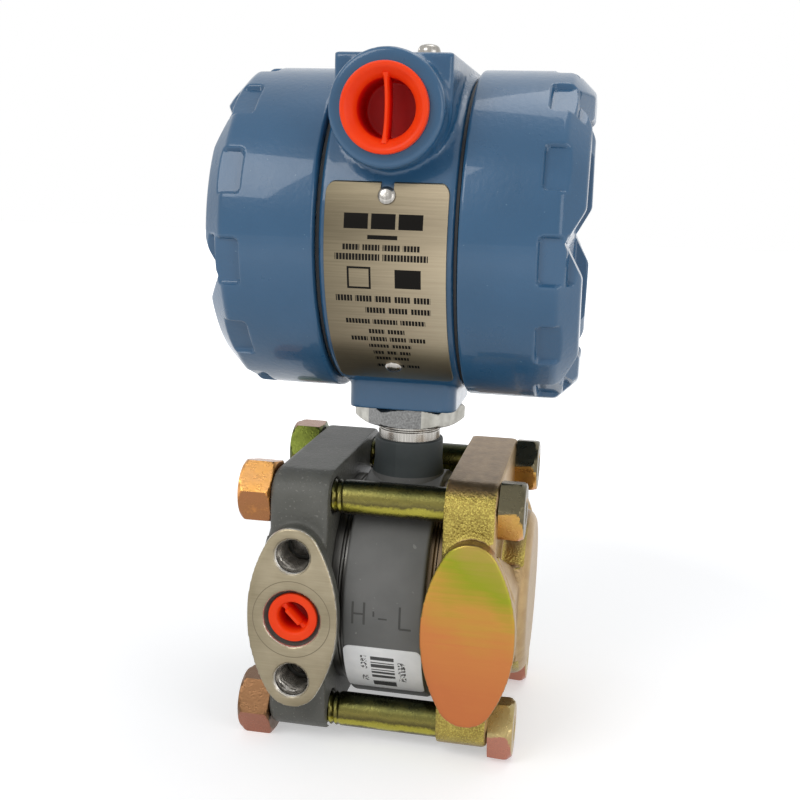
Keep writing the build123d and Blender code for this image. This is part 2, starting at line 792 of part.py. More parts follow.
# Port plug: small push-in cup in the mouth of the process port, with a slanted pull tab
port_plane = facing_front(-pad_reach + port_mouth_depth, -pad_x, port_z)
with BuildPart() as port_plug:
    with BuildSketch(port_plane):
        Circle(port_plug_flange_r)
    extrude(amount=port_plug_flange_t)
    with BuildSketch(port_plane):
        Circle(port_plug_body_r)
    extrude(amount=port_plug_flange_t - port_plug_depth)
    with BuildSketch(port_plane.offset(port_plug_flange_t)):
        Circle(port_plug_cup_r)
    extrude(amount=plug_floor - port_plug_depth, mode=Mode.SUBTRACT)
    with BuildSketch(port_plane.offset(port_plug_flange_t - plug_web_sink)):
        with Locations(Location((0, 0), port_plug_tab_turn)):
            Rectangle(2 * port_plug_cup_r + plug_web_grip, port_plug_tab)
    extrude(amount=-port_plug_tab_depth)
save(port_plug.part, "port_plug")

# Ground screw and its square clamp on the conduit block
ground_plane = Plane(origin=(ground_x, ground_y, block_top_z))
with BuildPart() as ground_clamp:
    with BuildSketch(ground_plane):
        Rectangle(ground_clamp_side, ground_clamp_side, rotation=ground_clamp_turn)
        Circle(ground_shank_r, mode=Mode.SUBTRACT)
    extrude(amount=ground_clamp_t)
save(ground_clamp.part, "ground_clamp")

with BuildPart() as ground_screw:
    with BuildSketch(ground_plane.offset(ground_clamp_t)):
        Circle(ground_head_r)
    extrude(amount=ground_head_height)
    fillet(edges().group_by(Axis.Z)[-1], ground_head_height * 0.45)
    with BuildSketch(ground_plane.offset(ground_clamp_t)):
        Circle(ground_shank_r)
    extrude(amount=-ground_clamp_t - ground_shank_length)
    with BuildSketch(ground_plane.offset(ground_clamp_t + ground_head_height)):
        Rectangle(2 * ground_head_r, slot_width, rotation=ground_slot_turn)
    extrude(amount=-slot_depth, mode=Mode.SUBTRACT)
save(ground_screw.part, "ground_screw")

# Terminal block: moulded base with a raised strip and barriers, on the lower wall of the terminal side
terminal_places = [(terminal_pitch * (i - (terminal_count - 1) / 2), -terminal_drop) for i in range(terminal_count)]
barrier_places = [(terminal_pitch * (i - terminal_count / 2), -terminal_drop) for i in range(terminal_count + 1)]
fixing_y = terminal_width / 2 - fixing_inset
fixing_z = fixing_inset - terminal_drop - terminal_height / 2
fixing_places = [(-fixing_y, fixing_z), (fixing_y, fixing_z)]
terminal_face = wall_face + terminal_t
strip_face = terminal_face + strip_t
with BuildPart() as terminal_block:
    with BuildSketch(along_x(wall_face, 0, housing_z)):
        with Locations((0, -terminal_drop)):
            RectangleRounded(terminal_width, terminal_height, terminal_corner)
    extrude(amount=terminal_t)
    with BuildSketch(along_x(terminal_face, 0, housing_z)):
        with Locations((0, -terminal_drop)):
            Rectangle(terminal_pitch * terminal_count, strip_height)
    extrude(amount=strip_t)
    with BuildSketch(along_x(strip_face, 0, housing_z)):
        with Locations(*barrier_places[1:-1]):
            Rectangle(barrier_t, strip_height)
    extrude(amount=barrier_rise)
save(terminal_block.part, "terminal_block")

# Terminal clamps and screws, one for each terminal
with BuildPart() as terminal_clamps:
    with BuildSketch(along_x(strip_face, 0, housing_z)):
        with Locations(*terminal_places):
            Rectangle(clamp_side, clamp_side)
    extrude(amount=clamp_t)
save(terminal_clamps.part, "terminal_clamps")

with BuildPart() as terminal_screws:
    with BuildSketch(along_x(strip_face + clamp_t, 0, housing_z)):
        with Locations(*terminal_places):
            Circle(terminal_head_r)
    extrude(amount=terminal_head_t)
    with BuildSketch(along_x(strip_face + clamp_t + terminal_head_t, 0, housing_z)):
        with Locations(*terminal_places):
            Rectangle(2 * terminal_head_r, slot_width)
    extrude(amount=-slot_depth, mode=Mode.SUBTRACT)
save(terminal_screws.part, "terminal_screws")

# Fixing screws of the terminal block
with BuildPart() as terminal_fixings:
    with BuildSketch(along_x(terminal_face, 0, housing_z)):
        with Locations(*fixing_places):
            Circle(fixing_head_r)
    extrude(amount=fixing_head_t)
    with BuildSketch(along_x(terminal_face + fixing_head_t, 0, housing_z)):
        with Locations(*fixing_places):
            Rectangle(2 * fixing_head_r, slot_width)
    extrude(amount=-slot_depth, mode=Mode.SUBTRACT)
save(terminal_fixings.part, "terminal_fixings")

# Inner ground screw on the lower wall, under the terminal block
with BuildPart() as inner_ground_screw:
    with BuildSketch(along_x(wall_face, 0, housing_z - bore_r + 2 * ground_head_r)):
        Circle(ground_head_r)
    extrude(amount=ground_head_height)
save(inner_ground_screw.part, "inner_ground_screw")

# Circuit boards of the electronics side, stacked on standoffs
board_levels = [board_first, board_first + board_pitch]
for level, name in zip(board_levels, ("power_board", "amplifier_board")):
    with BuildPart() as board:
        with BuildSketch(along_x(-level, 0, housing_z)):
            Circle(board_r)
        extrude(amount=-board_t)
    save(board.part, name)

with BuildPart() as standoffs:
    for start, stop in ((wall_face, board_levels[0]), (board_levels[0] + board_t, board_levels[1])):
        with BuildSketch(along_x(-start, 0, housing_z)):
            with Locations(*standoff_places):
                RegularPolygon(standoff_r, 6)
        extrude(amount=start - stop)
save(standoffs.part, "standoffs")

board_face = board_levels[-1] + board_t
with BuildPart() as board_screws:
    with BuildSketch(along_x(-board_face, 0, housing_z)):
        with Locations(*standoff_places):
            Circle(board_screw_r)
    extrude(amount=-board_screw_t)
save(board_screws.part, "board_screws")

# Parts soldered to the outer board: transformer, capacitors, connector and two trimmers
board_plane = along_x(-board_face, 0, housing_z)
with BuildPart() as board_components:
    with BuildSketch(board_plane):
        with Locations((transformer_place[0] * board_r, transformer_place[1] * board_r)):
            RectangleRounded(*transformer_size, transformer_corner)
    extrude(amount=-transformer_height)
    with BuildSketch(board_plane):
        with Locations(*[(y * board_r, z * board_r) for y, z in capacitor_places]):
            Circle(capacitor_r)
    extrude(amount=-capacitor_height)
    with BuildSketch(board_plane):
        with Locations((connector_place[0] * board_r, connector_place[1] * board_r)):
            Rectangle(*connector_size)
    extrude(amount=-connector_height)
    with BuildSketch(board_plane):
        with Locations(*[(y * board_r, z * board_r) for y, z in trimmer_places]):
            Rectangle(trimmer_side, trimmer_side)
    extrude(amount=-trimmer_height)
save(board_components.part, "board_components")

# Sensor header on the neck, and the ribbon lead from it to the boards
with BuildPart() as sensor_header:
    with BuildSketch(Plane.XY.offset(neck_top)):
        Circle(header_r)
    extrude(amount=header_height)
    with BuildSketch(Plane.XY.offset(neck_top)):
        Circle(neck_bore_r)
    extrude(amount=-2 * header_height)
save(sensor_header.part, "sensor_header")

header_top = neck_top + header_height
with BuildPart() as ribbon_lead:
    with BuildSketch(Plane.XZ.offset(-ribbon_width / 2)):
        with BuildLine():
            FilletPolyline(
                (0, header_top),
                (0, header_top + ribbon_rise),
                (ribbon_gap - board_first, header_top + ribbon_rise + ribbon_slope),
                (ribbon_gap - board_first, header_top + ribbon_rise + ribbon_slope + ribbon_run),
                (-board_first, header_top + ribbon_rise + ribbon_slope + ribbon_run),
                radius=ribbon_bend,
            )
        trace(line_width=ribbon_t)
    extrude(amount=ribbon_width)
save(ribbon_lead.part, "ribbon_lead")

# Paper sticker, wrapped on the front of the module below the connection height
with BuildPart() as sticker:
    with BuildSketch(along_x(-sticker_width / 2, 0, port_z)):
        Circle(module_r + sticker_t)
        Circle(module_r, mode=Mode.SUBTRACT)
    extrude(amount=sticker_width)
    sticker_span = radians(sticker_top_angle - sticker_bottom_angle)
    sticker_middle = radians((sticker_top_angle + sticker_bottom_angle) / 2)
    sticker_out = (0, -cos(sticker_middle), sin(sticker_middle))
    sticker_chord = 2 * (module_r + sticker_t) * sin(sticker_span / 2)
    with BuildSketch(Plane(origin=(0, 0, port_z), x_dir=(1, 0, 0), z_dir=sticker_out)):
        RectangleRounded(sticker_width, sticker_chord, sticker_corner)
    extrude(amount=2 * module_r, mode=Mode.INTERSECT)
save(sticker.part, "module_sticker")
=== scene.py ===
from math import ceil, cos, hypot, pi, radians, sin

import bmesh
import bpy
from mathutils import Matrix, Vector


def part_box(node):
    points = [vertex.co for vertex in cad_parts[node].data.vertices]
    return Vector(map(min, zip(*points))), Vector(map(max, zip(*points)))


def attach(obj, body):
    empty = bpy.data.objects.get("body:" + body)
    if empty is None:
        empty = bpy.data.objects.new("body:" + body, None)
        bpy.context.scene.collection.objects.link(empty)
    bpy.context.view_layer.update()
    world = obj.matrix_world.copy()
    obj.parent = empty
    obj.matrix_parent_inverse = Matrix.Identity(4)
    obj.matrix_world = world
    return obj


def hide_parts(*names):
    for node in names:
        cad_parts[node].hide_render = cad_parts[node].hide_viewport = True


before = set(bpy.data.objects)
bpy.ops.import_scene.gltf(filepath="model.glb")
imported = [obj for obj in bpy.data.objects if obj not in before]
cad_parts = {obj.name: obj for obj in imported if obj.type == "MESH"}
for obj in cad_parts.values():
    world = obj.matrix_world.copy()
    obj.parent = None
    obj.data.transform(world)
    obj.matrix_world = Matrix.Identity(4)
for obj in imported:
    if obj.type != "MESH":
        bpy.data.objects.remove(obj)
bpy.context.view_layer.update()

# Sensor module and its neck: a steel drum, turned, painted grey and left bare on the step ring at each side,
# with the neck tube welded on. It is clamped between the two flanges and carries everything above it.
# High and low sides are stamped in the drum above its sticker.

cell_low, cell_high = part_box("diaphragm_low")
nut_low, nut_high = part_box("lock_nut")
port_z = (cell_low.z + cell_high.z) / 2
drum_radius = port_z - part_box("sensor_module")[0].z
drum_top = port_z + drum_radius
drum_bore = 0.030
drum_edge = 0.0012
ring_end = cell_high.x
ring_width = 0.0052
ring_radius = drum_radius - 0.0035
ring_bore = 0.022
drum_half = ring_end - ring_width
groove_radius = ring_radius - 0.0006
drum_segments = 180
tube_radius = 0.0115
tube_root = 0.0128
tube_top = nut_low.z - 0.0057
seam_angle = radians(258)
seam_half = radians(3)
seam_height = 0.00014
thread_radius = 0.0100
thread_pitch = 0.0015
collar_radius = thread_radius + 0.0004
collar_groove = thread_radius + 0.0001
neck_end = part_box("sensor_header")[1].z - 0.005
neck_bore = 0.0051


def surface(name, roughness, metallic=0.0, slot=None):
    """A new material for one of the record's slots, with the shader's own sockets set."""
    made = bpy.data.materials.new(name)
    made.use_nodes = True
    made["slot"] = slot or name
    tree = made.node_tree
    shader = tree.nodes["Principled BSDF"]
    shader.inputs["Roughness"].default_value = roughness
    shader.inputs["Metallic"].default_value = metallic
    return made, tree, shader


def coloured(tree, shader, colour):
    """Gives a shader a colour that changes over the surface."""
    tree.links.new(colour, shader.inputs["Base Color"])


def grain(tree, size, detail=2.0, stretch=(1, 1, 1)):
    """Noise by the place on the object, with one grain every size metres."""
    place = tree.nodes.new("ShaderNodeTexCoord")
    mapping = tree.nodes.new("ShaderNodeMapping")
    mapping.inputs["Scale"].default_value = [part / size for part in stretch]
    noise = tree.nodes.new("ShaderNodeTexNoise")
    noise.inputs["Scale"].default_value = 1.0
    noise.inputs["Detail"].default_value = detail
    tree.links.new(place.outputs["Object"], mapping.inputs["Vector"])
    tree.links.new(mapping.outputs["Vector"], noise.inputs["Vector"])
    return noise.outputs["Fac"]


def split(tree, source, axis):
    """The X, Y or Z part of the object's own coordinates or of its normal."""
    place = tree.nodes.new("ShaderNodeTexCoord")
    parts = tree.nodes.new("ShaderNodeSeparateXYZ")
    tree.links.new(place.outputs[source], parts.inputs["Vector"])
    return parts.outputs[axis]


def along(tree, axis):
    """The place on the object along X, Y or Z, in metres."""
    return split(tree, "Object", axis)


def facing(tree, axis):
    """How far the surface faces along X, Y or Z, from -1 to 1."""
    return split(tree, "Normal", axis)


def worked(tree, operation, first, second=None):
    """The result of one Math node."""
    made = tree.nodes.new("ShaderNodeMath")
    made.operation = operation
    for socket, value in zip(made.inputs, (first, second)):
        if isinstance(value, (int, float)):
            socket.default_value = value
        elif value is not None:
            tree.links.new(value, socket)
    return made.outputs[0]


def scaled(tree, value, factor, lift=0.0):
    """A value times a factor, plus a lift."""
    return worked(tree, "ADD", worked(tree, "MULTIPLY", value, factor), lift)


def clamped(tree, value):
    """A value kept between 0 and 1."""
    return worked(tree, "MINIMUM", 1.0, worked(tree, "MAXIMUM", 0.0, value))


def shades(tree, factor, *stops):
    """A colour that goes through the stops (place, (r, g, b)) as the factor rises."""
    ramp = tree.nodes.new("ShaderNodeValToRGB")
    while len(ramp.color_ramp.elements) < len(stops):
        ramp.color_ramp.elements.new(0.5)
    for element, (place, colour) in zip(ramp.color_ramp.elements, stops):
        element.position = place
        element.color = (*colour, 1.0)
    tree.links.new(factor, ramp.inputs["Fac"])
    return ramp.outputs["Color"]


def mixed(tree, factor, first, second):
    """The first colour where the factor is 0 and the second where it is 1."""
    made = tree.nodes.new("ShaderNodeMix")
    made.data_type = "RGBA"
    tree.links.new(factor, made.inputs[0])
    for socket, value in ((made.inputs[6], first), (made.inputs[7], second)):
        if isinstance(value, tuple):
            socket.default_value = (*value, 1.0)
        else:
            tree.links.new(value, socket)
    return made.outputs[2]


def between(tree, value, low, high):
    """1 where the value lies between low and high, and 0 elsewhere."""
    above = worked(tree, "GREATER_THAN", value, low)
    below = worked(tree, "LESS_THAN", value, high)
    return worked(tree, "MULTIPLY", above, below)


def fields(tree, across, upwards, *places):
    """1 inside any of the fields (left, right, bottom, top), and 0 elsewhere."""
    total = None
    for left, right, bottom, top in places:
        column = between(tree, across, left, right)
        here = worked(tree, "MULTIPLY", column, between(tree, upwards, bottom, top))
        total = here if total is None else worked(tree, "MAXIMUM", total, here)
    return total


def relief(tree, shader, height, depth, edge=0.0):
    """Bump of a depth in metres, on edges rounded by the edge radius."""
    bump = tree.nodes.new("ShaderNodeBump")
    bump.inputs["Distance"].default_value = depth
    tree.links.new(height, bump.inputs["Height"])
    if edge:
        rounded_edge = tree.nodes.new("ShaderNodeBevel")
        rounded_edge.inputs["Radius"].default_value = edge
        tree.links.new(rounded_edge.outputs["Normal"], bump.inputs["Normal"])
    tree.links.new(bump.outputs["Normal"], shader.inputs["Normal"])


def dress(material, *nodes):
    """Gives CAD nodes their material."""
    for node in nodes:
        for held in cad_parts[node].material_slots:
            held.material = material


def finished(piece, material, body, nodes=(), sharp=35.0):
    """Shades a piece, gives it its material and body, and hides the CAD nodes it stands for."""
    piece.data.materials.clear()
    piece.data.materials.append(material)
    piece.data.polygons.foreach_set("use_smooth", [True] * len(piece.data.polygons))
    piece.data.set_sharp_from_angle(angle=radians(sharp))
    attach(piece, body)
    if nodes:
        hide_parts(*nodes)
    return piece


def meshed(name, points, faces, material, body, nodes=(), sharp=35.0):
    """A new piece from points and faces."""
    mesh = bpy.data.meshes.new(name)
    mesh.from_pydata(points, [], faces)
    shell = bmesh.new()
    shell.from_mesh(mesh)
    bmesh.ops.recalc_face_normals(shell, faces=shell.faces)
    shell.to_mesh(mesh)
    shell.free()
    piece = bpy.data.objects.new(name, mesh)
    bpy.context.scene.collection.objects.link(piece)
    return finished(piece, material, body, nodes, sharp)


def rounded(*corners, steps=4, longest=None):
    """An outline of (along, radius, fillet) corners: an arc for each fillet, no run over the longest."""
    line = [corners[0][:2]]
    for before, here, after in zip(corners, corners[1:], corners[2:]):
        back = (before[0] - here[0], before[1] - here[1])
        on = (after[0] - here[0], after[1] - here[1])
        cut = min(here[2], 0.49 * hypot(*back), 0.49 * hypot(*on))
        if not cut:
            line.append(here[:2])
            continue
        start = [here[i] + back[i] * cut / hypot(*back) for i in (0, 1)]
        stop = [here[i] + on[i] * cut / hypot(*on) for i in (0, 1)]
        for step in range(steps + 1):
            t = step / steps
            parts = ((1 - t) ** 2, 2 * t * (1 - t), t * t)
            line.append(tuple(parts[0] * start[i] + parts[1] * here[i] + parts[2] * stop[i] for i in (0, 1)))
    line.append(corners[-1][:2])
    if not longest:
        return line
    fine = [line[0]]
    for first, second in zip(line, line[1:]):
        run = (second[0] - first[0], second[1] - first[1])
        count = max(1, ceil(hypot(*run) / longest))
        fine += [tuple(first[i] + run[i] * k / count for i in (0, 1)) for k in range(1, count + 1)]
    return fine


def towards(place, direction, side=(0, 0, 1)):
    """The matrix of a place whose own Z points in a direction."""
    z = Vector(direction).normalized()
    x = Vector(side).cross(z).normalized()
    y = z.cross(x)
    return Matrix.Translation(place) @ Matrix((x, y, z)).transposed().to_4x4()


def turned(name, place, outline, material, body, nodes=(), segments=96, shape=None, ends="both", sharp=35.0):
    """Revolves an outline about the place's own Z. shape(along, radius, angle) may move each point.

    The ends are closed at both, the first or the last, or joined to each other as a ring."""
    points, faces = [], []
    for height, radius in outline:
        for step in range(segments):
            angle = 2 * pi * step / segments
            a, r = shape(height, radius, angle) if shape else (height, radius)
            points.append(place @ Vector((r * cos(angle), r * sin(angle), a)))
    count = len(outline)
    for row in range(count if ends == "ring" else count - 1):
        low, high = row * segments, (row + 1) % count * segments
        for step in range(segments):
            after = (step + 1) % segments
            faces.append((low + step, low + after, high + after, high + step))
    if ends in ("both", "first"):
        faces.append(tuple(reversed(range(segments))))
    if ends in ("both", "last"):
        faces.append(tuple(range((count - 1) * segments, count * segments)))
    return meshed(name, points, faces, material, body, nodes, sharp)


def screw_thread(pitch, depth, low, high, fade=1.5):
    """A shape for turned() that cuts a right-hand screw thread between two heights."""
    def cut(height, radius, angle):
        if not low <= height <= high:
            return height, radius
        turn = (height / pitch - angle / (2 * pi)) % 1.0
        ends = min(1.0, (height - low) / (fade * pitch), (high - height) / (fade * pitch))
        return height, radius - depth * ends * abs(2 * turn - 1)
    return cut


grey, tree, shader = surface("grey_paint", 0.5)
shader.inputs["Specular IOR Level"].default_value = 0.3
side_x, height = along(tree, "X"), along(tree, "Z")
stroke_half = 0.00036
high_left, high_right, low_left, low_right = -0.0095, -0.0058, 0.0057, 0.0094
high_mark = [(high_left, high_right, port_z + 0.0014, port_z + 0.0020)]
for stroke_x in (high_left, high_right):
    high_mark.append((stroke_x - stroke_half, stroke_x + stroke_half, port_z - 0.0018, port_z + 0.0055))
low_mark = [
    (low_left - stroke_half, low_left + stroke_half, port_z - 0.0022, port_z + 0.0051),
    (low_left, low_right, port_z - 0.0025, port_z - 0.0018)]
tool_marks = [
    (-0.0030, -0.0024, port_z + 0.0012, port_z + 0.0030),
    (-0.0012, 0.0016, port_z + 0.0004, port_z + 0.0009)]
marks = fields(tree, side_x, height, *high_mark, *low_mark, *tool_marks)
stamped = worked(tree, "MULTIPLY", marks, worked(tree, "LESS_THAN", along(tree, "Y"), -0.030))
paint = shades(tree, grain(tree, 0.014, 3), (0.3, (0.122, 0.122, 0.115)), (0.7, (0.158, 0.156, 0.148)))
chips = worked(tree, "GREATER_THAN", grain(tree, 0.0022, 2), 0.72)
worn = mixed(tree, chips, paint, (0.20, 0.198, 0.188))
on_neck = worked(tree, "GREATER_THAN", height, drum_top + 0.0005)
necked = mixed(tree, on_neck, worn, (0.050, 0.058, 0.058))
coloured(tree, shader, mixed(tree, stamped, necked, (0.066, 0.065, 0.060)))
speckle = grain(tree, 0.0012, 4)
relief(tree, shader, worked(tree, "SUBTRACT", speckle, scaled(tree, stamped, 5.0)), 0.00006)

lathe_stretch = (1, 0.04, 0.04)
ring_steel, tree, shader = surface("ring_steel", 0.36, 1.0, "bright_steel")
lines = grain(tree, 0.0004, 2, lathe_stretch)
turned_steel = shades(tree, lines, (0.3, (0.115, 0.112, 0.105)), (0.7, (0.175, 0.170, 0.160)))
# Painted reflection: the low side ring is coloured warm brown, as if the gold flange beside it reflects in it.
gold_reflecting_steel = shades(tree, lines, (0.3, (0.085, 0.060, 0.036)), (0.7, (0.150, 0.110, 0.072)))
low_side = worked(tree, "GREATER_THAN", along(tree, "X"), 0.0)
coloured(tree, shader, mixed(tree, low_side, turned_steel, gold_reflecting_steel))
relief(tree, shader, lines, 0.00001)

bare, tree, shader = surface("machined_steel", 0.24, 1.0, "bright_steel")
lines = grain(tree, 0.0004, 2, lathe_stretch)
coloured(tree, shader, shades(tree, lines, (0.3, (0.30, 0.285, 0.26)), (0.7, (0.46, 0.44, 0.41))))
relief(tree, shader, lines, 0.00001)

across = towards((0, 0, port_z), (1, 0, 0))
turned("module_drum", across, rounded(
    (-drum_half, drum_bore, 0), (-drum_half, drum_radius, drum_edge), (drum_half, drum_radius, drum_edge),
    (drum_half, drum_bore, 0), steps=5), grey, "base", segments=drum_segments, ends="ring")
for side, word in ((-1, "high"), (1, "low")):
    inner, outer = side * (drum_half - 0.001), side * ring_end
    groove = side * (drum_half + 0.0016)
    turned(f"step_ring_{word}", across, rounded(
        (inner, ring_bore, 0), (inner, ring_radius, 0), (groove - side * 0.0004, ring_radius, 0.0001),
        (groove, groove_radius, 0.0002), (groove + side * 0.0007, groove_radius, 0.0002),
        (groove + side * 0.0011, ring_radius, 0.0001), (outer, ring_radius, 0.0003), (outer, ring_bore, 0)),
        ring_steel, "base", segments=drum_segments, ends="ring")


def weld_seam(height, radius, angle):
    """A low welded ridge up the front of the neck tube."""
    off = abs(angle - seam_angle) / seam_half
    return height, radius + seam_height * max(0.0, 1 - off)


up = Matrix.Identity(4)
turned("neck_tube", up, rounded(
    (drum_top - 0.009, tube_root, 0), (drum_top - 0.0030, tube_root, 0.0010),
    (drum_top + 0.0015, tube_radius + 0.0004, 0.003), (drum_top + 0.0045, tube_radius, 0.002),
    (tube_top, tube_radius, 0.0008), (tube_top, thread_radius - 0.001, 0), steps=8),
    grey, "base", segments=192, shape=weld_seam)
turned("neck_thread", up, rounded(
    (tube_top - 0.001, 0.006, 0), (tube_top - 0.001, collar_radius, 0),
    (tube_top + 0.0030, collar_radius, 0.0002), (tube_top + 0.0032, collar_groove, 0.0001),
    (tube_top + 0.0036, collar_groove, 0.0001), (tube_top + 0.0038, collar_radius, 0.0002),
    (tube_top + 0.0050, collar_radius, 0.0003), (tube_top + 0.0054, thread_radius, 0.0002),
    (neck_end, thread_radius, 0.0008), (neck_end, neck_bore, 0), longest=0.0003),
    bare, "base", ("sensor_module",), 96,
    screw_thread(thread_pitch, 0.0008, tube_top + 0.0056, neck_end - 0.0005))

# Sensing cell and diaphragms: machined steel discs welded in the drum's bore. The gaskets are flat white
# rings in the flanges' grooves, and the header is a glass-sealed steel cap on the top of the neck.

cell_steel, tree, shader = surface("cell_steel", 0.3, 1.0)
lathe_lines = grain(tree, 0.0006, 3, (0.05, 1, 1))
coloured(tree, shader, shades(tree, lathe_lines, (0.3, (0.42, 0.42, 0.42)), (0.7, (0.56, 0.56, 0.55))))
relief(tree, shader, lathe_lines, 0.00001, 0.0002)
dress(cell_steel, "sensing_cell", "diaphragm_high", "diaphragm_low", "sensor_header")

white_ring, tree, shader = surface("gasket_white", 0.55)
ring_tone = grain(tree, 0.003)
coloured(tree, shader, shades(tree, ring_tone, (0.3, (0.66, 0.64, 0.58)), (0.7, (0.76, 0.74, 0.69))))
relief(tree, shader, grain(tree, 0.0006), 0.00002)
dress(white_ring, "gasket_high", "gasket_low")

# High side flange: cast steel, painted grey all over, with its connection pad machined bare at the front.
# The port holds the orange plug, and four nuts draw the flange against the module's gasket.

port_low, port_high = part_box("port_plug")
pad_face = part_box("flange_high")[0].y
pad_x = port_low.x / 2 + port_high.x / 2
pad_skin = 0.00035
nut_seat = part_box("flange_nuts")[1].x
head_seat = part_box("flange_bolts")[1].x - 0.0079
crown_radius = 0.028
casting_voxel = 0.0007
casting_passes = 3
flange_share = 0.7


def cast_copy(name, node, material, body, share, shape=None):
    """A finer copy of a CAD node with the soft edges of a casting, cut down to a share of its triangles.

    shape(point) may move each point."""
    piece = bpy.data.objects.new(name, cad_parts[node].data.copy())
    bpy.context.scene.collection.objects.link(piece)
    even = piece.modifiers.new("even", "REMESH")
    even.mode = "VOXEL"
    even.voxel_size = casting_voxel
    soft = piece.modifiers.new("soft", "SMOOTH")
    soft.factor = 0.5
    soft.iterations = casting_passes
    thin = piece.modifiers.new("thin", "DECIMATE")
    thin.ratio = share
    bpy.context.view_layer.update()
    mesh = bpy.data.meshes.new_from_object(piece.evaluated_get(bpy.context.evaluated_depsgraph_get()))
    piece.modifiers.clear()
    piece.data = mesh
    if shape:
        for vertex in mesh.vertices:
            vertex.co = shape(vertex.co)
        shell = bmesh.new()
        shell.from_mesh(mesh)
        bmesh.ops.remove_doubles(shell, verts=shell.verts, dist=0.0002)
        shell.to_mesh(mesh)
        shell.free()
    return finished(piece, material, body, (node,), 180.0)


def away(tree, first, second, centre):
    """The distance of two coordinates from a centre."""
    offsets = [worked(tree, "SUBTRACT", value, middle) for value, middle in zip((first, second), centre)]
    squares = [worked(tree, "MULTIPLY", offset, offset) for offset in offsets]
    return worked(tree, "SQRT", worked(tree, "ADD", *squares))


def sloped_ribs(point):
    """Lets the ribs beside the crown fall away to the bolt seats, as their draft does on the casting."""
    off_middle, out = abs(point.z - port_z), abs(point.x)
    seat = -nut_seat if point.x < 0 else head_seat
    if out <= seat or hypot(point.y, off_middle) < crown_radius + 0.0006:
        return point
    slope = max(0.0, min(1.0, (0.0265 - off_middle) / 0.0155))
    kept = max(0.0, min(1.0, (abs(point.y) - 0.0385) / 0.0040))
    limit = seat + (out - seat) * max(slope, kept)
    return Vector((point.x / out * limit, point.y, point.z))


painted_flange, tree, shader = surface("painted_flange", 0.42, slot="grey_paint")
shader.inputs["Specular IOR Level"].default_value = 0.25
paint = shades(tree, grain(tree, 0.016, 3), (0.3, (0.092, 0.092, 0.080)), (0.7, (0.138, 0.136, 0.120)))
flecks = worked(tree, "GREATER_THAN", grain(tree, 0.0009, 3), 0.66)
paint = mixed(tree, flecks, paint, (0.19, 0.185, 0.165))
strokes = grain(tree, 0.0005, 3, (0.05, 1, 1))
clouds = grain(tree, 0.012, 3)
steel = shades(tree, worked(tree, "ADD", scaled(tree, strokes, 0.25), scaled(tree, clouds, 0.75)),
    (0.3, (0.25, 0.21, 0.135)), (0.7, (0.38, 0.325, 0.225)))
machined = worked(tree, "LESS_THAN", along(tree, "Y"), pad_face + pad_skin)
from_port = away(tree, along(tree, "X"), along(tree, "Z"), (pad_x, port_z))
seat_line = between(tree, from_port, 0.01245, 0.01275)
face = mixed(tree, seat_line, steel, (0.20, 0.165, 0.11))
# Painted highlight: the bare chamfered rim round the pad is coloured far brighter than the face's steel.
rim = between(tree, along(tree, "Y"), pad_face + pad_skin, pad_face + 0.0012)
paint_with_lit_rim = mixed(tree, rim, paint, (0.62, 0.59, 0.52))
bare_metal = worked(tree, "MAXIMUM", machined, rim)
coloured(tree, shader, mixed(tree, machined, paint_with_lit_rim, face))
tree.links.new(scaled(tree, bare_metal, 0.9), shader.inputs["Metallic"])
tree.links.new(scaled(tree, bare_metal, -0.06, 0.42), shader.inputs["Roughness"])
pits = worked(tree, "MULTIPLY", grain(tree, 0.0011, 5), scaled(tree, machined, -0.92, 1.0))
relief(tree, shader, pits, 0.00022)
cast_copy("high_side_flange", "flange_high", painted_flange, "base", flange_share, sloped_ribs)

# Tapped holes of the high side pad: bare threads, cut in the casting above and below the port, that take the
# two seven-sixteenths bolts of a process adapter.

hole_radius = 0.00555
hole_spacing = 0.0413
hole_depth = 0.0150
hole_pitch = 0.0018
for step, word in ((-1, "lower"), (1, "upper")):
    mouth = towards((pad_x, pad_face, port_z + step * hole_spacing / 2), (0, -1, 0))
    turned(f"tapped_hole_{word}", mouth, rounded(
        (0.0001 - hole_depth, 0.0002, 0), (0.0002 - hole_depth, hole_radius - 0.0001, 0),
        (-0.0009, hole_radius - 0.0001, 0), (-0.0001, hole_radius + 0.0005, 0), longest=0.0003),
        bare, "base", (), 64, screw_thread(hole_pitch, 0.0008, -0.0149, -0.0006), ends="first")

# Low side flange: the same casting, yellow chromated, with its pad ground flat and left undrilled.
# The chromate runs from olive at the top of the pad to orange at its foot.

chromated, tree, shader = surface("yellow_chromate", 0.38, 0.85)
fade_length = 0.066
fall = scaled(tree, along(tree, "Z"), 1 / fade_length, -port_z / fade_length + 0.5)
lean = scaled(tree, along(tree, "X"), 1 / 0.09, pad_x / 0.09)
drift = scaled(tree, grain(tree, 0.020, 2), 0.40, -0.20)
strokes = grain(tree, 0.0014, 3, (0.03, 1, 1))
fade = worked(tree, "ADD", worked(tree, "ADD", fall, drift), scaled(tree, strokes, 0.16, -0.08))
face_tone = shades(tree, worked(tree, "ADD", fade, scaled(tree, lean, 0.5)),
    (0.15, (0.52, 0.165, 0.055)), (0.45, (0.54, 0.195, 0.057)), (0.62, (0.50, 0.26, 0.05)),
    (0.78, (0.27, 0.29, 0.018)), (0.95, (0.38, 0.27, 0.06)))
cast_tone = shades(tree, grain(tree, 0.008, 4),
    (0.25, (0.22, 0.155, 0.035)), (0.5, (0.32, 0.24, 0.055)), (0.72, (0.42, 0.33, 0.08)))
# Painted glints: bright yellow specks on the cast faces, standing for light sparkling off the chromate.
painted_glints = clamped(tree, scaled(tree, grain(tree, 0.00045, 3), 3.2, -1.35))
front_tone = mixed(tree, painted_glints, cast_tone, (0.60, 0.50, 0.12))
satin = grain(tree, 0.0030, 5, (1, 0.6, 1))
top_tone = shades(tree, satin, (0.3, (0.19, 0.120, 0.055)), (0.7, (0.30, 0.200, 0.100)))
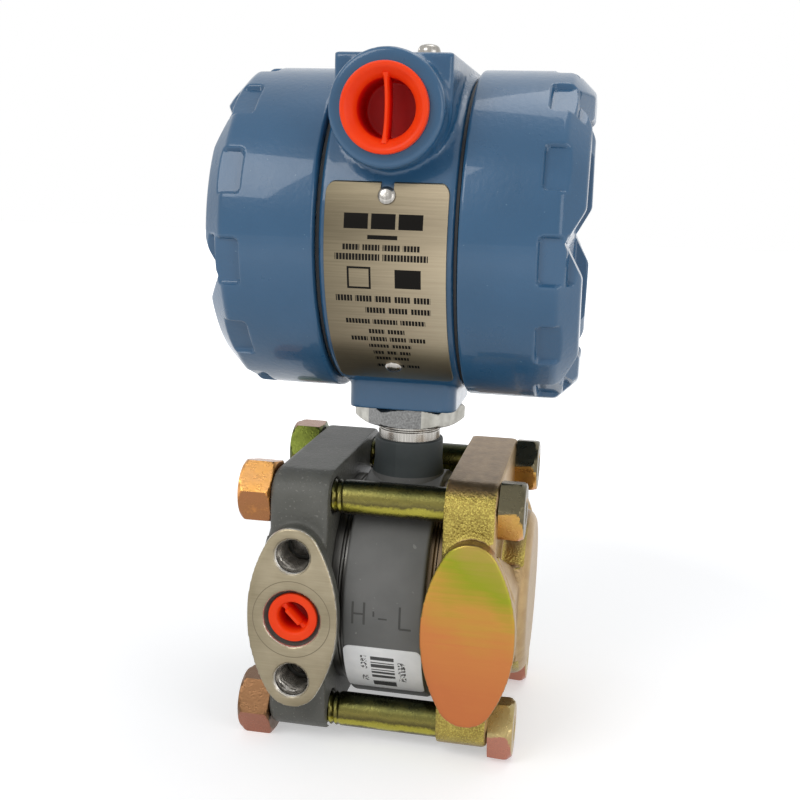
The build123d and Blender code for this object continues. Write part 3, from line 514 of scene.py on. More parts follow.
side_tone = shades(tree, satin, (0.3, (0.37, 0.245, 0.120)), (0.7, (0.44, 0.31, 0.155)))
upward = clamped(tree, scaled(tree, worked(tree, "ABSOLUTE", facing(tree, "Z")), 4.0, -2.4))
outward = worked(tree, "GREATER_THAN", facing(tree, "X"), 0.60)
cast_face = mixed(tree, outward, mixed(tree, upward, front_tone, top_tone), side_tone)
machined = worked(tree, "LESS_THAN", along(tree, "Y"), pad_face + pad_skin)
coloured(tree, shader, mixed(tree, machined, cast_face, face_tone))
satin_face = scaled(tree, worked(tree, "MAXIMUM", upward, outward), 0.72)
smooth_face = worked(tree, "MAXIMUM", machined, satin_face)
pits = worked(tree, "MULTIPLY", grain(tree, 0.0008, 5), scaled(tree, smooth_face, -1.0, 1.0))
brushed = scaled(tree, worked(tree, "MULTIPLY", strokes, machined), 0.10)
relief(tree, shader, worked(tree, "ADD", pits, brushed), 0.0005)
cast_copy("low_side_flange", "flange_low", chromated, "base", flange_share, sloped_ribs)

# Flange bolts and nuts: forged steel, chromated. Their tones from olive to pink are painted reflections, set
# by the way each facet faces and in bands round each shank, with painted shade on the lower and rear nuts.
# Each bolt's head bears on the low side flange, and its rolled thread runs through the nut on the high side.

bolt_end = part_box("flange_bolts")[0].x
head_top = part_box("flange_bolts")[1].x
nut_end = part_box("flange_nuts")[0].x
bolt_radius = 0.00555
bolt_y = 0.0287
nut_half = 0.01905 / 2
head_half = 0.01746 / 2
bolt_level = port_z - nut_half
shank_thread_end = -0.0138
head_turn = radians(-10.9)
loose_turn = radians(-11.5)
hex_segments = 120
hex_sharp = 22.0

fastener, tree, shader = surface("bolt_chromate", 0.28, 0.92)
length, depth = along(tree, "X"), along(tree, "Y")
above = worked(tree, "SUBTRACT", along(tree, "Z"), port_z)
off_axis = worked(tree, "SUBTRACT", above, scaled(tree, worked(tree, "SIGN", above), bolt_level))
flecks = scaled(tree, grain(tree, 0.0008, 4), 0.40, -0.20)
wander = worked(tree, "ADD", scaled(tree, grain(tree, 0.007, 2), 0.70, -0.35), flecks)
# Painted reflections: each facet is coloured by how far it faces up or down. The blotchy noise is the
# chromate's own.
reflection_by_facet = worked(tree, "ADD", scaled(tree, facing(tree, "Z"), 0.5, 0.5), scaled(tree, wander, 0.22))
nut_reflections = shades(tree, reflection_by_facet,
    (0.10, (0.42, 0.165, 0.085)), (0.36, (0.34, 0.150, 0.060)), (0.42, (0.60, 0.25, 0.070)),
    (0.80, (0.64, 0.32, 0.085)), (0.98, (0.42, 0.23, 0.14)))
head_reflections = shades(tree, reflection_by_facet,
    (0.12, (0.55, 0.22, 0.12)), (0.37, (0.60, 0.36, 0.095)), (0.42, (0.13, 0.105, 0.060)),
    (0.90, (0.11, 0.098, 0.060)))
rear_nut_reflections = shades(tree, reflection_by_facet,
    (0.20, (0.26, 0.20, 0.04)), (0.44, (0.055, 0.068, 0.010)), (0.80, (0.075, 0.090, 0.014)),
    (0.90, (0.34, 0.185, 0.125)))
lower_nut_reflections = shades(tree, reflection_by_facet,
    (0.15, (0.34, 0.135, 0.085)), (0.37, (0.30, 0.125, 0.075)), (0.42, (0.16, 0.080, 0.036)),
    (0.90, (0.16, 0.082, 0.038)))
lower_head_reflections = shades(tree, reflection_by_facet,
    (0.15, (0.42, 0.17, 0.13)), (0.37, (0.45, 0.20, 0.14)), (0.42, (0.46, 0.340, 0.160)),
    (0.90, (0.38, 0.300, 0.130)))
# Painted reflection: the shank is coloured in bands round its axis, with a bright painted highlight band.
reflection_by_band = worked(tree, "ADD", scaled(tree, off_axis, 1 / (2 * bolt_radius), 0.5), scaled(tree, wander, 0.35))
shank_reflection_bands = shades(tree, reflection_by_band,
    (0.03, (0.060, 0.045, 0.015)), (0.16, (0.10, 0.085, 0.025)), (0.24, (0.44, 0.40, 0.060)),
    (0.38, (0.38, 0.34, 0.055)), (0.47, (0.10, 0.085, 0.030)), (0.62, (0.19, 0.165, 0.045)),
    (0.80, (0.11, 0.105, 0.030)), (0.97, (0.025, 0.028, 0.012)))
# The lower pair and the rear nuts get their own painted reflections, the nuts darker as painted shade.
rear = worked(tree, "GREATER_THAN", depth, 0.0)
lower_pair = worked(tree, "LESS_THAN", above, 0.0)
nut_reflections = mixed(tree, lower_pair, nut_reflections, lower_nut_reflections)
head_reflections = mixed(tree, lower_pair, head_reflections, lower_head_reflections)
on_nut = worked(tree, "LESS_THAN", length, nut_seat + 0.0001)
on_head = worked(tree, "GREATER_THAN", length, head_seat - 0.0001)
tone = mixed(tree, on_nut, shank_reflection_bands, mixed(tree, rear, nut_reflections, rear_nut_reflections))
coloured(tree, shader, mixed(tree, on_head, tone, head_reflections))
tree.links.new(scaled(tree, grain(tree, 0.002, 4), 0.25, 0.17), shader.inputs["Roughness"])
relief(tree, shader, grain(tree, 0.0007, 4), 0.00006)


def hexagon(half_width):
    """A shape for turned() that keeps a round outline inside a hexagon of a half width across flats."""
    def cut(height, radius, angle):
        return height, min(radius, half_width / cos(angle % (pi / 3) - pi / 6))
    return cut


for row, z in (("lower", port_z - bolt_level), ("upper", port_z + bolt_level)):
    for column, y in (("front", -bolt_y), ("rear", bolt_y)):
        label = f"{row}_{column}"
        first = label == "lower_front"
        place = towards((0, y, z), (1, 0, 0))
        nut_turn = loose_turn if label == "upper_front" else 0.0
        turned(f"nut_{label}", place @ Matrix.Rotation(nut_turn, 4, "Z"), rounded(
            (nut_seat, bolt_radius, 0), (nut_seat, nut_half * 0.98, 0),
            (nut_seat - 0.0007, nut_half * 1.15, 0.0005), (nut_end + 0.0018, nut_half * 1.16, 0.0008),
            (nut_end + 0.0001, nut_half * 0.99, 0.0008), (nut_end, nut_half * 0.9, 0.0002),
            (nut_end, bolt_radius + 0.0006, 0.0002), (nut_end + 0.0007, bolt_radius, 0), longest=0.0012),
            fastener, "base", ("flange_nuts",) if first else (), hex_segments, hexagon(nut_half), "ring",
            hex_sharp)
        turned(f"bolt_head_{label}", place @ Matrix.Rotation(head_turn, 4, "Z"), rounded(
            (head_seat, 0.003, 0), (head_seat, head_half * 1.13, 0.0003),
            (head_top - 0.0018, head_half * 1.155, 0.0008), (head_top - 0.0001, head_half * 0.97, 0.0008),
            (head_top, head_half * 0.88, 0.0003), (head_top, head_half * 0.5, 0.0003),
            (head_top - 0.0003, head_half * 0.45, 0.0002), (head_top - 0.0003, 0.001, 0),
            longest=0.0012), fastener, "base", ("flange_bolts",) if first else (), hex_segments,
            hexagon(head_half), sharp=hex_sharp)
        turned(f"bolt_shank_{label}", place, rounded(
            (bolt_end, 0.001, 0), (bolt_end, bolt_radius - 0.0002, 0.0006),
            (shank_thread_end, bolt_radius, 0.0001), longest=0.0003)
            + [(shank_thread_end + 0.0005, bolt_radius), (head_seat, bolt_radius), (head_seat, 0.001)],
            fastener, "base", (), 56, screw_thread(hole_pitch, 0.0009, bolt_end, shank_thread_end))

# Vent seat and stem: turned stainless steel, the seat screwed into the rear of the high side flange and the
# stem screwed into the seat. The stem is eased by its hexagon to bleed the cell.

dress(bare, "vent_seat", "vent_stem")

# Lock nut: turned stainless hexagon, run up the neck's thread against the housing to hold it where it is
# turned. Its flats are blasted dull in front; the side flats are painted brighter, as a highlight.

nut_steel, tree, shader = surface("lock_nut_steel", 0.36, 1.0, "bright_steel")
blasted = shades(tree, grain(tree, 0.0006, 4), (0.3, (0.14, 0.14, 0.138)), (0.7, (0.27, 0.27, 0.265)))
polished_highlight = shades(tree, grain(tree, 0.004, 3), (0.3, (0.24, 0.232, 0.205)), (0.7, (0.42, 0.41, 0.37)))
# Painted highlight: the side flats are coloured brighter than the front ones.
from_middle = worked(tree, "ABSOLUTE", scaled(tree, along(tree, "X"), 1.0, 0.0028))
sideways = worked(tree, "GREATER_THAN", from_middle, 0.0092)
coloured(tree, shader, mixed(tree, sideways, blasted, polished_highlight))
tree.links.new(scaled(tree, sideways, -0.14, 0.42), shader.inputs["Roughness"])
relief(tree, shader, grain(tree, 0.0006, 5), 0.00006)
lock_half = 0.016
lock_corner = lock_half * 1.156
lock_face = lock_half * 0.99
turned("hex_lock_nut", up @ Matrix.Rotation(radians(10), 4, "Z"), rounded(
    (nut_low.z + 0.0008, thread_radius + 0.0003, 0), (nut_low.z, thread_radius + 0.0012, 0.0001),
    (nut_low.z, lock_face, 0.0002), (nut_low.z + 0.0012, lock_corner, 0.0006),
    (nut_high.z - 0.0012, lock_corner, 0.0006), (nut_high.z, lock_face, 0.0002),
    (nut_high.z, thread_radius + 0.0003, 0), longest=0.0007),
    nut_steel, "lock_nut", ("lock_nut",), 180, hexagon(lock_half), "ring", hex_sharp)

# Housing: die-cast aluminium in gloss blue enamel. The barrel, its two threaded necks, the conduit block with
# a boss at each end and the square neck block are one casting, divided inside by a stepped wall.

cover_low, cover_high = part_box("cover_right")
housing_z = (cover_low.z + cover_high.z) / 2
cover_start = cover_low.x
cover_end = cover_high.x
neck_radius = 0.0463
neck_crest = neck_radius + 0.0002
neck_root = neck_radius - 0.0004
neck_reach = cover_start + 0.0155
cover_pitch = 0.002
housing_share = 0.48

enamel, tree, shader = surface("blue_enamel", 0.30)
shader.inputs["Specular IOR Level"].default_value = 0.28
shader.inputs["Coat Weight"].default_value = 0.50
shader.inputs["Coat Roughness"].default_value = 0.05
body_tone = shades(tree, grain(tree, 0.02, 3), (0.3, (0.024, 0.094, 0.190)), (0.7, (0.030, 0.108, 0.215)))
chipped = worked(tree, "GREATER_THAN", grain(tree, 0.0011, 1), 0.79)
coloured(tree, shader, mixed(tree, chipped, body_tone, (0.075, 0.165, 0.265)))
tree.links.new(scaled(tree, grain(tree, 0.008, 4), 0.16, 0.22), shader.inputs["Roughness"])
relief(tree, shader, grain(tree, 0.0016, 2), 0.00009)
cast_copy("housing_casting", "housing", enamel, "housing", housing_share)
for side, word in ((-1, "left"), (1, "right")):
    turned(f"neck_screw_{word}", towards((0, 0, housing_z), (side, 0, 0)), rounded(
        (cover_start + 0.0005, neck_root, 0), (cover_start + 0.0006, neck_crest, 0.0001),
        (neck_reach - 0.0010, neck_crest, 0.0001), (neck_reach - 0.0008, neck_root, 0),
        longest=0.0006), bare, "housing", (), 180,
        screw_thread(cover_pitch, 0.0005, cover_start + 0.0006, neck_reach - 0.0010), "ring")

# Covers: die-cast cups in the same enamel. Twelve pockets run round the shoulder for a strap wrench, six of
# them carried on through the end ring as notches. Each cover screws on the housing over a rubber ring.

cover_radius = 0.0512
cover_segments = 660
shoulder_x = cover_end - 0.0067
cone_end_radius = 0.0462
end_radius = 0.0446
cup_radius = 0.0446
ring_inner = 0.0375
ring_floor = cover_end - 0.0052
cup_floor = ring_floor - 0.004
pocket_pitch = radians(30)
pocket_floor = 0.0492
pocket_start = cover_start + 0.0229
pocket_half = pocket_floor * sin(radians(8))
pocket_corner = 0.0014
pocket_draft = 0.0007
notch_pitch = 2 * pocket_pitch
notch_floor = 0.0459
notch_start = cover_start + 0.0309
vee_offset = radians(-5.6)
vee_half = 0.00946
vee_depth = 0.0052


def step_up(value, width):
    """0 below nought and 1 above it, with a soft step of a width."""
    t = max(0.0, min(1.0, value / width + 0.5))
    return t * t * (3 - 2 * t)


def lower(first, second, soft):
    """The lower of two numbers, with the corner between them rounded."""
    mix = max(0.0, min(1.0, 0.5 + 0.5 * (second - first) / soft))
    return second * (1 - mix) + first * mix - soft * mix * (1 - mix)


def castellation(phase):
    """A shape for turned() that cuts the pockets and notches, with the first pocket at a phase."""
    def cut(height, radius, angle):
        if radius < ring_inner - 0.001 or height < pocket_start - 0.002:
            return height, radius
        off = (angle - phase + pocket_pitch / 2) % pocket_pitch - pocket_pitch / 2
        side, reach = pocket_half - abs(radius * sin(off)), height - pocket_start
        inside = min(side, reach)
        if max(side, reach) < pocket_corner:
            inside = pocket_corner - hypot(pocket_corner - side, pocket_corner - reach)
        radius += step_up(inside, pocket_draft) * (lower(radius, pocket_floor / cos(off), 0.0003) - radius)
        off = (angle - phase + notch_pitch / 2) % notch_pitch - notch_pitch / 2
        inside = min(pocket_half - abs(radius * sin(off)), height - notch_start)
        radius += step_up(inside, pocket_draft) * (lower(radius, notch_floor / cos(off), 0.0003) - radius)
        limit = cover_end - vee_depth * (1 - abs(radius * sin(off - vee_offset)) / vee_half)
        return lower(height, limit, 0.0005), radius
    return cut


plain_wall = rounded(
    (cover_start + 0.0006, neck_radius + 0.0006, 0), (cover_start + 0.0004, neck_radius + 0.0018, 0.0006),
    (cover_start + 0.0004, cover_radius, 0.0012), (pocket_start - 0.0022, cover_radius, 0), steps=6)
cut_wall = rounded(
    (pocket_start - 0.0020, cover_radius, 0), (shoulder_x, cover_radius - 0.0001, 0.0012),
    (cover_end - 0.0016, cone_end_radius, 0.0010), (cover_end, end_radius, 0.0009),
    (cover_end, ring_inner, 0.0008), (ring_floor, ring_inner - 0.0008, 0.0010),
    (ring_floor, ring_inner - 0.003, 0), longest=0.00048)
inner_wall = rounded(
    (cover_start + 0.0007, neck_radius + 0.0006, 0), (cover_start + 0.016, neck_radius + 0.0006, 0),
    (cover_start + 0.0165, cup_radius, 0.0003), longest=0.0006) + rounded(
    (cover_start + 0.0168, cup_radius, 0), (cup_floor, cup_radius, 0.002), (cup_floor, 0.001, 0))
bore_thread = screw_thread(cover_pitch, 0.0003, cover_start + 0.001, neck_reach)
outward_axis = Matrix(((0, 0, 1, 0), (-1, 0, 0, 0), (0, -1, 0, 0), (0, 0, 0, 1)))
for side, name, phase in ((1, "right", 4.6), (-1, "left", -8.9)):
    place = Matrix(((side, 0, 0, 0), (0, side, 0, 0), (0, 0, 1, housing_z), (0, 0, 0, 1))) @ outward_axis
    turned(f"cover_{name}_cup", place, plain_wall + cut_wall + [(ring_floor, 0.001)], enamel,
        f"{name}_cover", (f"cover_{name}",), cover_segments, castellation(radians(phase)), "last", 50.0)
    turned(f"cover_{name}_bore", place, inner_wall, enamel, f"{name}_cover", (), 144, bore_thread, "last")

# Cover seals: black rubber rings, stretched over the housing's necks and pressed in the gap between barrel
# and cover.

rubber, tree, shader = surface("seal_rubber", 0.6)
dust = grain(tree, 0.002)
coloured(tree, shader, shades(tree, dust, (0.3, (0.010, 0.010, 0.011)), (0.7, (0.020, 0.020, 0.021))))
dress(rubber, "cover_seal_left", "cover_seal_right")

# Nameplate: thin stainless sheet, brushed, rolled to the barrel and held by two drive screws. Its print is
# kept as plain bars and blocks in rows.

barrel_radius = 0.0495
plate_surface = barrel_radius + 0.0007
plate_top_angle = 18.6
plate_bottom_angle = -62.0
bar_pitch = 0.00094
word_gap = 0.0009
rows = (
    (-0.0120, 0.0118, 0.062, 0.150, 3, False), (-0.0050, 0.0046, 0.004, 0.028, 1, False),
    (-0.0122, 0.0112, -0.060, -0.026, 4, True), (-0.0145, 0.0135, -0.118, -0.080, 2, True),
    (0.0030, 0.0115, -0.275, -0.165, 1, False), (-0.0146, 0.0142, -0.362, -0.325, 5, True),
    (-0.0060, 0.0142, -0.430, -0.396, 3, True), (-0.0124, 0.0124, -0.500, -0.470, 3, True),
    (-0.0058, 0.0060, -0.562, -0.534, 2, True), (-0.0112, 0.0120, -0.612, -0.584, 4, True),
    (-0.0062, 0.0076, -0.656, -0.634, 2, True), (-0.0052, 0.0070, -0.702, -0.680, 3, True),
    (-0.0050, 0.0062, -0.742, -0.722, 2, True), (-0.0050, 0.0090, -0.796, -0.776, 3, True))

plate_steel, tree, shader = surface("nameplate_steel", 0.36, 1.0)
side_x = along(tree, "X")
turn = scaled(tree, along(tree, "Z"), 1 / barrel_radius, -housing_z / barrel_radius)
strokes = grain(tree, 0.0005, 3, (0.03, 1, 1))
# Painted light: the brushed steel is coloured darker to the left and top and brighter to the right and towards
# the foot of the plate.
fall = worked(tree, "ADD", scaled(tree, side_x, 16.0, 0.36), scaled(tree, turn, -0.28))
foot = worked(tree, "MAXIMUM", 0.0, scaled(tree, turn, -2.0, -1.40))
painted_light_sheen = worked(tree, "ADD", scaled(tree, strokes, 0.30), worked(tree, "ADD", fall, foot))
metal = shades(tree, painted_light_sheen, (0.10, (0.105, 0.088, 0.056)), (0.45, (0.21, 0.175, 0.118)),
    (0.75, (0.33, 0.275, 0.19)), (1.0, (0.42, 0.36, 0.255)))
bar = worked(tree, "GREATER_THAN", worked(tree, "FRACT", scaled(tree, side_x, 1 / bar_pitch, 0.2)), 0.24)
printed = worked(tree, "SUBTRACT", fields(tree, side_x, turn, (-0.0110, -0.0040, -0.285, -0.155)),
    fields(tree, side_x, turn, (-0.0104, -0.0046, -0.273, -0.167)))
for left, right, bottom, top, words, barred in rows:
    per_metre = words / (right - left)
    in_word = worked(tree, "FRACT", scaled(tree, side_x, per_metre, -left * per_metre))
    inked = worked(tree, "LESS_THAN", in_word, 1 - word_gap * per_metre)
    if barred:
        inked = worked(tree, "MULTIPLY", inked, bar)
    row = worked(tree, "MULTIPLY", fields(tree, side_x, turn, (left, right, bottom, top)), inked)
    printed = worked(tree, "MAXIMUM", printed, row)
coloured(tree, shader, mixed(tree, printed, metal, (0.012, 0.011, 0.010)))
relief(tree, shader, strokes, 0.00002, 0.00025)
dress(plate_steel, "nameplate")


def on_barrel(angle, radius):
    """The place on the barrel at an angle in degrees above the front, facing outwards."""
    out = Vector((0, -cos(radians(angle)), sin(radians(angle))))
    return towards(Vector((0, 0, housing_z)) + out * radius, out, (1, 0, 0))


upper_angle = plate_top_angle - 0.0036 / barrel_radius * 180 / pi
lower_angle = plate_bottom_angle + 0.0092 / barrel_radius * 180 / pi
for word, angle, nodes in (("upper", upper_angle, ("drive_screws",)), ("lower", lower_angle, ())):
    turned(f"drive_screw_{word}", on_barrel(angle, plate_surface), rounded(
        (-0.0040, 0.0008, 0), (-0.0038, 0.0012, 0.0002), (0.0, 0.0012, 0), (0.0, 0.0026, 0.0001),
        (0.00035, 0.0026, 0.0003), (0.0011, 0.0019, 0.0008), (0.0013, 0.0008, 0.0006),
        (0.0013, 0.0001, 0), steps=6), bare, "housing", nodes, 48)

# Ground screw: stainless pan head with one slot, over a square clamp on top of the conduit block, for the
# plant's earth wire.

ground_low, ground_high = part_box("ground_screw")
ground_x = (ground_low.x + ground_high.x) / 2
ground_y = (ground_low.y + ground_high.y) / 2
pan_height = 0.0028
pan_radius = 0.0035
pan_rim = 0.0010
slot_angle = radians(35)
slot_half = 0.00045
slot_depth = 0.0009


def slotted(height, radius, angle):
    """The dome of a pan head, cut by one straight slot."""
    if height > pan_rim:
        height -= slot_depth * step_up(slot_half - abs(radius * sin(angle - slot_angle)), 0.0003)
    return height, radius


turned("ground_pan_head", Matrix.Translation((ground_x, ground_y, ground_high.z - pan_height)), rounded(
    (-0.0068, 0.0010, 0), (-0.0066, 0.0019, 0.0003), (-0.0001, 0.0019, 0), (0.0, pan_radius, 0.0001),
    (pan_rim, pan_radius, 0.0008), (0.0023, pan_radius * 0.82, 0.0012),
    (pan_height, pan_radius * 0.40, 0.0012), (pan_height, 0.0001, 0), steps=6, longest=0.0003),
    bare, "housing", ("ground_screw",), 96, slotted, sharp=40.0)
dress(bare, "ground_clamp")

# Conduit plugs: moulded orange polythene cups, pushed in to keep the entries clean. Each has a dished flange
# and one thin web across its mouth to pull it by.

plug_low, plug_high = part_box("conduit_plug_front")
rear_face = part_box("conduit_plug_rear")[1].y
entry_z = (plug_low.z + plug_high.z) / 2
flange_radius = 0.0124
flange_t = 0.0024

orange, tree, shader = surface("orange_plastic", 0.42)
shader.inputs["Specular IOR Level"].default_value = 0.25
shader.inputs["Subsurface Weight"].default_value = 0.08
shader.inputs["Subsurface Radius"].default_value = (0.003, 0.0008, 0.0003)
moulded = shades(tree, grain(tree, 0.006, 3), (0.3, (0.95, 0.048, 0.003)), (0.7, (1.0, 0.062, 0.005)))
height = along(tree, "Z")
high_up = worked(tree, "GREATER_THAN", height, housing_z)
face_at = worked(tree, "ADD", scaled(tree, high_up, -plug_low.y + port_low.y), -port_low.y)
depth = worked(tree, "SUBTRACT", face_at, worked(tree, "ABSOLUTE", along(tree, "Y")))
in_entry = worked(tree, "LESS_THAN", away(tree, along(tree, "X"), height, (0.0, entry_z)), 0.0083)
in_port = worked(tree, "LESS_THAN", away(tree, along(tree, "X"), height, (pad_x, port_z)), 0.0049)
inside = worked(tree, "MAXIMUM", in_entry, in_port)
sunk = worked(tree, "MULTIPLY", inside, scaled(tree, depth, 1 / 0.0085, -0.26))
shadowed = shades(tree, sunk,
    (0.0, (0.95, 0.050, 0.003)), (0.25, (0.80, 0.006, 0.002)), (0.75, (0.50, 0.002, 0.001)))
coloured(tree, shader, mixed(tree, worked(tree, "GREATER_THAN", sunk, 0.0), moulded, shadowed))
relief(tree, shader, grain(tree, 0.0012, 3), 0.00004)


def pull_web(name, place, half_span, half_width, front, back, bow, body):
    """A thin web across a plug's mouth, bowed to one side, with flared ends and a rounded front edge."""
    points, faces = [], []
    stations = 36
    for step in range(stations + 1):
        t = 2 * step / stations - 1
        half = half_width * (1 + 0.7 * abs(t) ** 8)
        centre = bow * (1 - t * t)
        top = front(t)
        section = (
            (-half, back), (-half, top - 0.0004), (-half * 0.55, top),
            (half * 0.55, top), (half, top - 0.0004), (half, back))
        points += [place @ Vector((centre + side, t * half_span, height)) for side, height in section]
    for step in range(stations):
        base = 6 * step
        faces += [(base + k, base + (k + 1) % 6, base + 6 + (k + 1) % 6, base + 6 + k) for k in range(6)]
    faces += [tuple(range(6)), tuple(reversed(range(6 * stations, 6 * stations + 6)))]
    return meshed(name, points, faces, orange, body, (), 50.0)


def dished(t):
    """The front edge of a conduit plug's web, a little lower in the middle."""
    return 0.0012 - 0.0004 * (1 - t * t)


for word, face_y, direction in (("front", plug_low.y, -1), ("rear", rear_face, 1)):
    body = f"{word}_plug"
    place = towards((0, face_y - direction * flange_t, entry_z), (0, direction, 0))
    turned(f"{word}_plug_cup", place, rounded(
        (-0.0136, 0.0002, 0), (-0.0136, 0.0099, 0.0008), (0.0, 0.0101, 0), (0.0, flange_radius, 0.0003),
        (flange_t, flange_radius, 0.0007), (flange_t, 0.0110, 0.0010), (-0.0006, 0.0082, 0.0018),
        (-0.0120, 0.0080, 0.001), (-0.0120, 0.0002, 0), steps=7), orange, body, (f"conduit_plug_{word}",), 128)
    pull_web(f"{word}_plug_web", place, 0.0094, 0.00055, dished, -0.0056, 0.0005, body)

# Port plug: the same kind of cup, smaller, sunk in the mouth of the process port, with a stepped tab to pull
# it by that runs from upper left to lower right.

port_flange_t = 0.0016
port_flange_radius = 0.0080
tab_turn = radians(45)


def stepped(t):
    """The front edge of the port plug's tab, stepped down near each end."""
    return port_flange_t - 0.0002 - 0.0014 * step_up(abs(t) - 0.62, 0.08)


place = towards((pad_x, port_low.y + port_flange_t, port_z), (0, -1, 0))
turned("port_plug_cup", place, rounded(
    (-0.0094, 0.0002, 0), (-0.0094, 0.0064, 0.0006), (0.0, 0.0066, 0), (0.0, port_flange_radius, 0.0002),
    (port_flange_t, port_flange_radius, 0.0005), (port_flange_t, 0.0054, 0.0006), (0.0004, 0.0048, 0.0006),
    (-0.0078, 0.0047, 0.0006), (-0.0078, 0.0002, 0), steps=6), orange, "port_plug", ("port_plug",), 96)
pull_web("port_plug_tab", place @ Matrix.Rotation(tab_turn, 4, "Z"), 0.0050, 0.0007, stepped, -0.0045, 0.0,
    "port_plug")

# Inside of the housing: moulded terminal block with plated brass terminals on one side, and two coated boards
# on standoffs with their parts and the ribbon lead from the neck on the other. Small screws hold them.

black, tree, shader = surface("black_moulding", 0.45, slot="black_plastic")
moulding = grain(tree, 0.003)
coloured(tree, shader, shades(tree, moulding, (0.3, (0.018, 0.018, 0.019)), (0.7, (0.030, 0.030, 0.031))))
relief(tree, shader, grain(tree, 0.0008), 0.00003, 0.0003)
dress(black, "terminal_block", "board_components")

brass, tree, shader = surface("terminal_brass", 0.3, 1.0)
plating = grain(tree, 0.002, 3)
coloured(tree, shader, shades(tree, plating, (0.3, (0.52, 0.39, 0.17)), (0.7, (0.66, 0.52, 0.27))))
relief(tree, shader, grain(tree, 0.0005), 0.00001, 0.0002)
dress(brass, "terminal_clamps", "terminal_screws")

green, tree, shader = surface("board_green", 0.35)
track_pitch = 0.0025
across_tracks = worked(tree, "FRACT", scaled(tree, along(tree, "Y"), 1 / track_pitch))
tracks = worked(tree, "GREATER_THAN", across_tracks, 0.62)
broken = worked(tree, "GREATER_THAN", grain(tree, 0.006, 2, (1, 1, 0.4)), 0.5)
copper = worked(tree, "MULTIPLY", tracks, broken)
resist = shades(tree, grain(tree, 0.004, 5), (0.35, (0.012, 0.10, 0.038)), (0.6, (0.020, 0.16, 0.060)))
coloured(tree, shader, mixed(tree, copper, resist, (0.035, 0.23, 0.085)))
relief(tree, shader, copper, 0.00004)
dress(green, "power_board", "amplifier_board")

ribbon, tree, shader = surface("ribbon_grey", 0.5)
cores = grain(tree, 0.0009, 1, (0.02, 1, 0.02))
coloured(tree, shader, shades(tree, cores, (0.45, (0.27, 0.28, 0.30)), (0.55, (0.40, 0.41, 0.43))))
relief(tree, shader, cores, 0.0001)
dress(ribbon, "ribbon_lead")
dress(bare, "zero_adjuster", "span_adjuster", "inner_ground_screw", "terminal_fixings", "board_screws",
    "standoffs")

# Paper sticker: white, self-adhesive, on the front of the drum under the stamped marks. Its print is kept as
# one block of plain bars with columns of specks at each side of it.

paper, tree, shader = surface("sticker_white", 0.5)
side_x = along(tree, "X")
below_port = scaled(tree, along(tree, "Z"), -1.0, port_z)
down = worked(tree, "ARCTAN2", below_port, scaled(tree, along(tree, "Y"), -1.0))
stripes = worked(tree, "GREATER_THAN", grain(tree, 0.0011, 2, (0.01, 0.01, 1)), 0.5)
block = fields(tree, side_x, down, (-0.0039, 0.0038, radians(19.7), radians(45.6)))
specks = worked(tree, "GREATER_THAN", grain(tree, 0.0007, 1), 0.50)
columns = fields(tree, side_x, down,
    (-0.0072, -0.0052, radians(19.6), radians(28.5)), (-0.0072, -0.0052, radians(33.8), radians(39.0)),
    (0.0050, 0.0074, radians(22.3), radians(38.0)))
barred = worked(tree, "MULTIPLY", block, stripes)
inked = worked(tree, "MAXIMUM", barred, worked(tree, "MULTIPLY", columns, specks))
white = shades(tree, grain(tree, 0.004, 3), (0.3, (0.84, 0.84, 0.83)), (0.7, (0.91, 0.905, 0.89)))
coloured(tree, shader, mixed(tree, inked, white, (0.045, 0.044, 0.043)))
relief(tree, shader, grain(tree, 0.0007), 0.00001, 0.0001)
dress(paper, "module_sticker")

# Studio: a white floor and backdrop that the camera sees as white, and three large soft lights over, left and
# right of the camera. The floor keeps the object's shadow.

reach = 3
floor_mesh = bpy.data.meshes.new("floor")
floor_mesh.from_pydata(
    [(-reach, -reach, 0), (reach, -reach, 0), (reach, reach, 0), (-reach, reach, 0)], [], [(0, 1, 2, 3)])
floor = bpy.data.objects.new("floor", floor_mesh)
bpy.context.scene.collection.objects.link(floor)


def direct_ray(tree):
    """1 for rays of the camera, of reflections and of transmission, and 0 for the rest."""
    path = tree.nodes.new("ShaderNodeLightPath")
    seen = worked(tree, "MAXIMUM", path.outputs["Is Camera Ray"], path.outputs["Is Glossy Ray"])
    return worked(tree, "MAXIMUM", seen, path.outputs["Is Transmission Ray"])


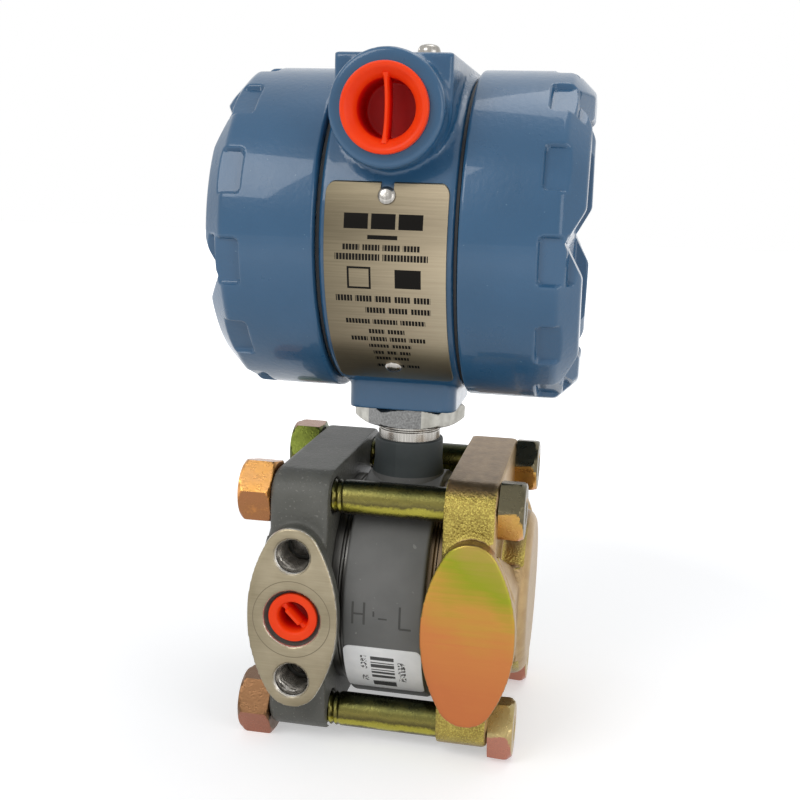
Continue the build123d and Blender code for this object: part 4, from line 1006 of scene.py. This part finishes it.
pale, tree, shader = surface("floor_white", 0.9)
shader.inputs["Base Color"].default_value = (0.80, 0.80, 0.80, 1)
shader.inputs["Specular IOR Level"].default_value = 0.1
shader.inputs["Emission Color"].default_value = (1, 1, 1, 1)
spread = away(tree, along(tree, "X"), along(tree, "Y"), (0.0, 0.0))
whiter = worked(tree, "MINIMUM", 1.0, worked(tree, "MAXIMUM", 0.42, scaled(tree, spread, 1.6, 0.10)))
tree.links.new(worked(tree, "MULTIPLY", whiter, direct_ray(tree)), shader.inputs["Emission Strength"])
floor_mesh.materials.append(pale)

world = bpy.data.worlds.new("studio")
bpy.context.scene.world = world
world.use_nodes = True
tree = world.node_tree
sky = tree.nodes["Background"]
sky.inputs["Color"].default_value = (0.95, 0.97, 1.0, 1)
sky.inputs["Strength"].default_value = 0.52
backdrop = tree.nodes.new("ShaderNodeBackground")
backdrop.inputs["Color"].default_value = (1, 1, 1, 1)
choice = tree.nodes.new("ShaderNodeMixShader")
tree.links.new(direct_ray(tree), choice.inputs[0])
tree.links.new(sky.outputs[0], choice.inputs[1])
tree.links.new(backdrop.outputs[0], choice.inputs[2])
tree.links.new(choice.outputs[0], tree.nodes["World Output"].inputs["Surface"])

middle = Vector((0, 0, 0.11))
lamps = (
    ("key", (-0.45, -0.70, 0.75), 0.50, 3.2), ("fill", (0.75, -0.50, 0.35), 0.50, 1.6),
    ("top", (0.1, 0.15, 0.9), 0.40, 1.2))
for name, place, size, power in lamps:
    light = bpy.data.lights.new(name, "AREA")
    light.size = size
    light.energy = power
    lamp = bpy.data.objects.new(name, light)
    lamp.matrix_world = towards(Vector(place), Vector(place) - middle)
    bpy.context.scene.collection.objects.link(lamp)

# Camera: at the photograph's angle and distance, found by fitting the covers' circles, the flanges' edges and
# the bolts' places.

yaw, pitch, roll = radians(10.71), radians(11.62), radians(1.73)
stand = (0.0629, -0.3517, 0.1831)
ahead = Vector((-sin(yaw) * cos(pitch), cos(yaw) * cos(pitch), -sin(pitch)))
right = Vector((cos(yaw), sin(yaw), 0))
over = right.cross(ahead)
level = cos(roll) * right + sin(roll) * over
upright = cos(roll) * over - sin(roll) * right
lens = bpy.data.cameras.new("camera")
lens.lens = 48.58
lens.sensor_width = 36
lens.clip_start = 0.01
camera = bpy.data.objects.new("camera", lens)
camera.matrix_world = Matrix.Translation(stand) @ Matrix((level, upright, -ahead)).transposed().to_4x4()
bpy.context.scene.collection.objects.link(camera)
bpy.context.scene.camera = camera
bpy.context.scene.view_settings.view_transform = "Standard"
